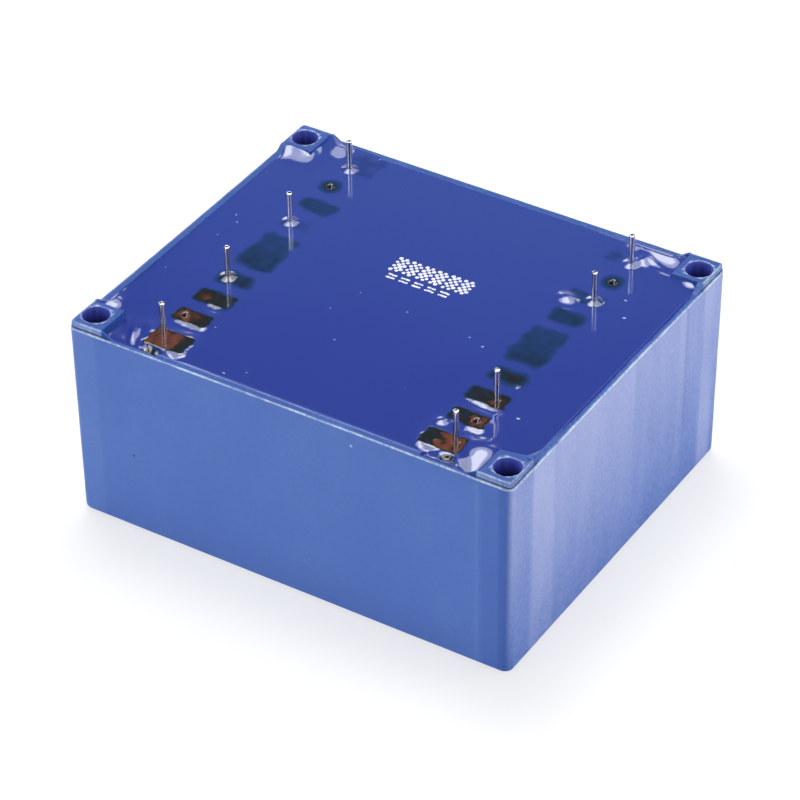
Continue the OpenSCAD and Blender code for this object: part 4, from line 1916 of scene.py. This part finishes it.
@dataclass
class Studio:
    """Pale floor, even surroundings, softboxes and the camera."""

    azimuth: float = 32.16
    elevation: float = 36.77
    roll: float = -0.52
    distance: float = 464.84
    lens: float = 163.18
    sensor: float = 36.0
    clip: Pair = (0.01, 20.0)
    target: tuple[float, float, float] = (12.07, -19.45, 30.5)
    sky: tuple[tuple[float, Colour], ...] = (
        (0.0, (1.0, 1.0, 1.0, 1.0)), (0.15, (1.0, 1.0, 1.0, 1.0)), (0.4, (0.3, 0.3, 0.31, 1.0)),
        (1.0, (0.22, 0.22, 0.23, 1.0)))
    aim: tuple[float, float, float] = (0.0, 0.0, 20.0)
    floor_reach: float = 3000.0
    floor_drop: float = 0.02
    floor_lines: int = 13
    floor_tone: Colour = (0.8, 0.8, 0.8, 1.0)
    seen_tone: Colour = (0.42, 0.42, 0.42, 1.0)
    floor_glow: float = 0.66
    lamps: tuple[Softbox, ...] = (
        Softbox("top_box", (-0.20, 0.20, 0.95), 0.60, 0.27, 0.25, 10.0),
        Softbox("top_panel", (-0.08, 0.10, 1.0), 0.60, 0.80, 0.66, 6.6, True),
        Softbox("core_box", (-0.14, 0.16, 1.0), 0.60, 0.42, 0.36, 1.0, True),
        Softbox("front_box", (-0.55, -0.95, 0.25), 0.60, 0.35, 0.30, 2.5),
        Softbox("right_box", (0.95, 0.45, 0.28), 0.50, 0.36, 0.24, 2.8),
        Softbox("left_strip", (-0.31, -0.74, 0.60), 0.60, 0.36, 0.28, 10.0, True),
        Softbox("right_strip", (0.80, -0.04, 0.60), 0.60, 0.16, 0.26, 10.0, True),
        Softbox("back_left_box", (-0.73, 0.68, 0.12), 0.60, 0.34, 0.20, 3.2),
        Softbox("back_strip", (-0.10, 0.76, 0.63), 0.60, 0.14, 0.10, 6.0, True),
    )

    def floor(self) -> None:
        """A wide pale floor that reads white to the camera and keeps the part's shadow."""
        xs = np.linspace(-self.floor_reach, self.floor_reach, self.floor_lines)
        x, y = lattice(xs, xs)
        material, board = new_board("studio_floor")
        path = board.node("ShaderNodeLightPath")
        seen = path.out("Is Camera Ray").most(path.out("Is Glossy Ray"))
        seen = seen.most(path.out("Is Transmission Ray"))
        tone = board.mix(seen, self.floor_tone, self.seen_tone)
        matt = board.node("ShaderNodeBsdfDiffuse", None, {"Color": tone})
        glow = board.node("ShaderNodeEmission", None, {
            "Color": (1.0, 1.0, 1.0, 1.0), "Strength": seen * self.floor_glow})
        both = board.node("ShaderNodeAddShader", None, {0: matt.out(), 1: glow.out()})
        board.node("ShaderNodeOutputMaterial", None, {"Surface": both.out()})
        piece = put_mesh("studio_floor", points_of(x, y, np.full(x.shape, -self.floor_drop)),
                         cell_faces(self.floor_lines, self.floor_lines), material)

    def surroundings(self) -> None:
        """A world that is white at the horizon and greyer higher up."""
        world = bpy.data.worlds.new("studio_world")
        bpy.context.scene.world = world
        world.use_nodes = True
        board = Board(world.node_tree)
        upward = board.node("ShaderNodeSeparateXYZ", None, {
            0: board.node("ShaderNodeTexCoord").out("Generated")}).out("Z")
        tone = board.ramp(upward, self.sky)
        glow = board.node("ShaderNodeBackground", None, {"Color": tone, "Strength": 1.0})
        board.node("ShaderNodeOutputWorld", None, {"Surface": glow.out()})

    def camera(self) -> None:
        """Sets the camera from its angles, its distance and the point it looks at."""
        a, e, r = (math.radians(v) for v in (self.azimuth, self.elevation, self.roll))
        back = Vector((math.sin(a) * math.cos(e), -math.cos(a) * math.cos(e), math.sin(e)))
        right = Vector((math.cos(a), math.sin(a), 0.0))
        up = back.cross(right)
        sideways = math.cos(r) * right + math.sin(r) * up
        upright = -math.sin(r) * right + math.cos(r) * up
        data = bpy.data.cameras.new("camera")
        data.lens, data.sensor_width = self.lens, self.sensor
        data.clip_start, data.clip_end = self.clip
        camera = bpy.data.objects.new("camera", data)
        axes = Matrix((sideways, upright, back)).transposed().to_4x4()
        spot = (Vector(self.target) + back * self.distance) * MM
        camera.matrix_world = Matrix.Translation(spot) @ axes
        bpy.context.scene.collection.objects.link(camera)
        bpy.context.scene.camera = camera

    def build(self) -> None:
        """Makes the whole studio."""
        self.camera()
        self.floor()
        self.surroundings()
        for lamp in self.lamps:
            lamp.build(Vector(self.aim) * MM)
        bpy.context.scene.view_settings.view_transform = "Standard"


# ---------------------------------------------------------------- building in order

def main() -> None:
    """Builds the studio and every piece."""
    Studio().build()
    plastic = CasePlastic().build()
    Case().build(plastic)
    fill = ResinFill()
    CornerWeb(fill).build(plastic)
    fill.build(PottingResin().build())
    compound = FormerPlastic().build()
    for node, side, first in (("front_left_comb", -1, 0), ("rear_left_comb", -1, 5),
                              ("front_right_comb", 1, 0), ("rear_right_comb", 1, 5)):
        Comb(node, side, first, fill).build(compound)
    metal = TinnedPin().build()
    bare = {-1: (0.42, 0.4, 0.8, 0.9), 1: (0.4, 0.4, 0.9, 0.8)}
    for side, word, places in ((-1, "left", fill.left_pins), (1, "right", fill.right_pins)):
        for number, place in enumerate(places):
            SolderPin(f"{word}_pin_{number + 1}", side * PLAN.row_x, PLAN.place_y(place),
                      bare[side][number]).build(metal)
    InkMarks(fill).build(MarkingInk().build())
    pale = ((-2.5, -12.3, 0.16, 20), (2.5, -2.2, 0.16, 0), (12.5, -2.8, 0.16, 10), (15.0, -3.7, 0.22, 40),
            (26.8, -14.6, 0.3, 10), (27.8, 11.4, 0.28, 20), (26.0, 15.0, 0.24, 0), (-11.0, -25.7, 0.24, 0),
            (-8.5, -24.1, 0.14, 0), (-29.8, 5.2, 0.2, 140), (-28.7, 3.8, 0.2, 140), (-29.3, -0.1, 0.14, 0),
            (-31.0, -10.1, 0.12, 0), (-17.5, -18.0, 0.14, 0), (-6.8, -6.6, 0.12, 0), (-5.2, -1.6, 0.12, 0))
    Grains("pale_dust", fill, pale).build(Dust("pale_dust", paint(190, 200, 240)).build())
    dark = ((-32.0, 16.1, 0.2, 120), (-13.8, 22.8, 0.16, 120), (11.0, -16.5, 0.14, 100))
    Grains("dark_dust", fill, dark).build(Dust("dark_dust", paint(20, 26, 60)).build())


if __name__ == "__main__":
    main()
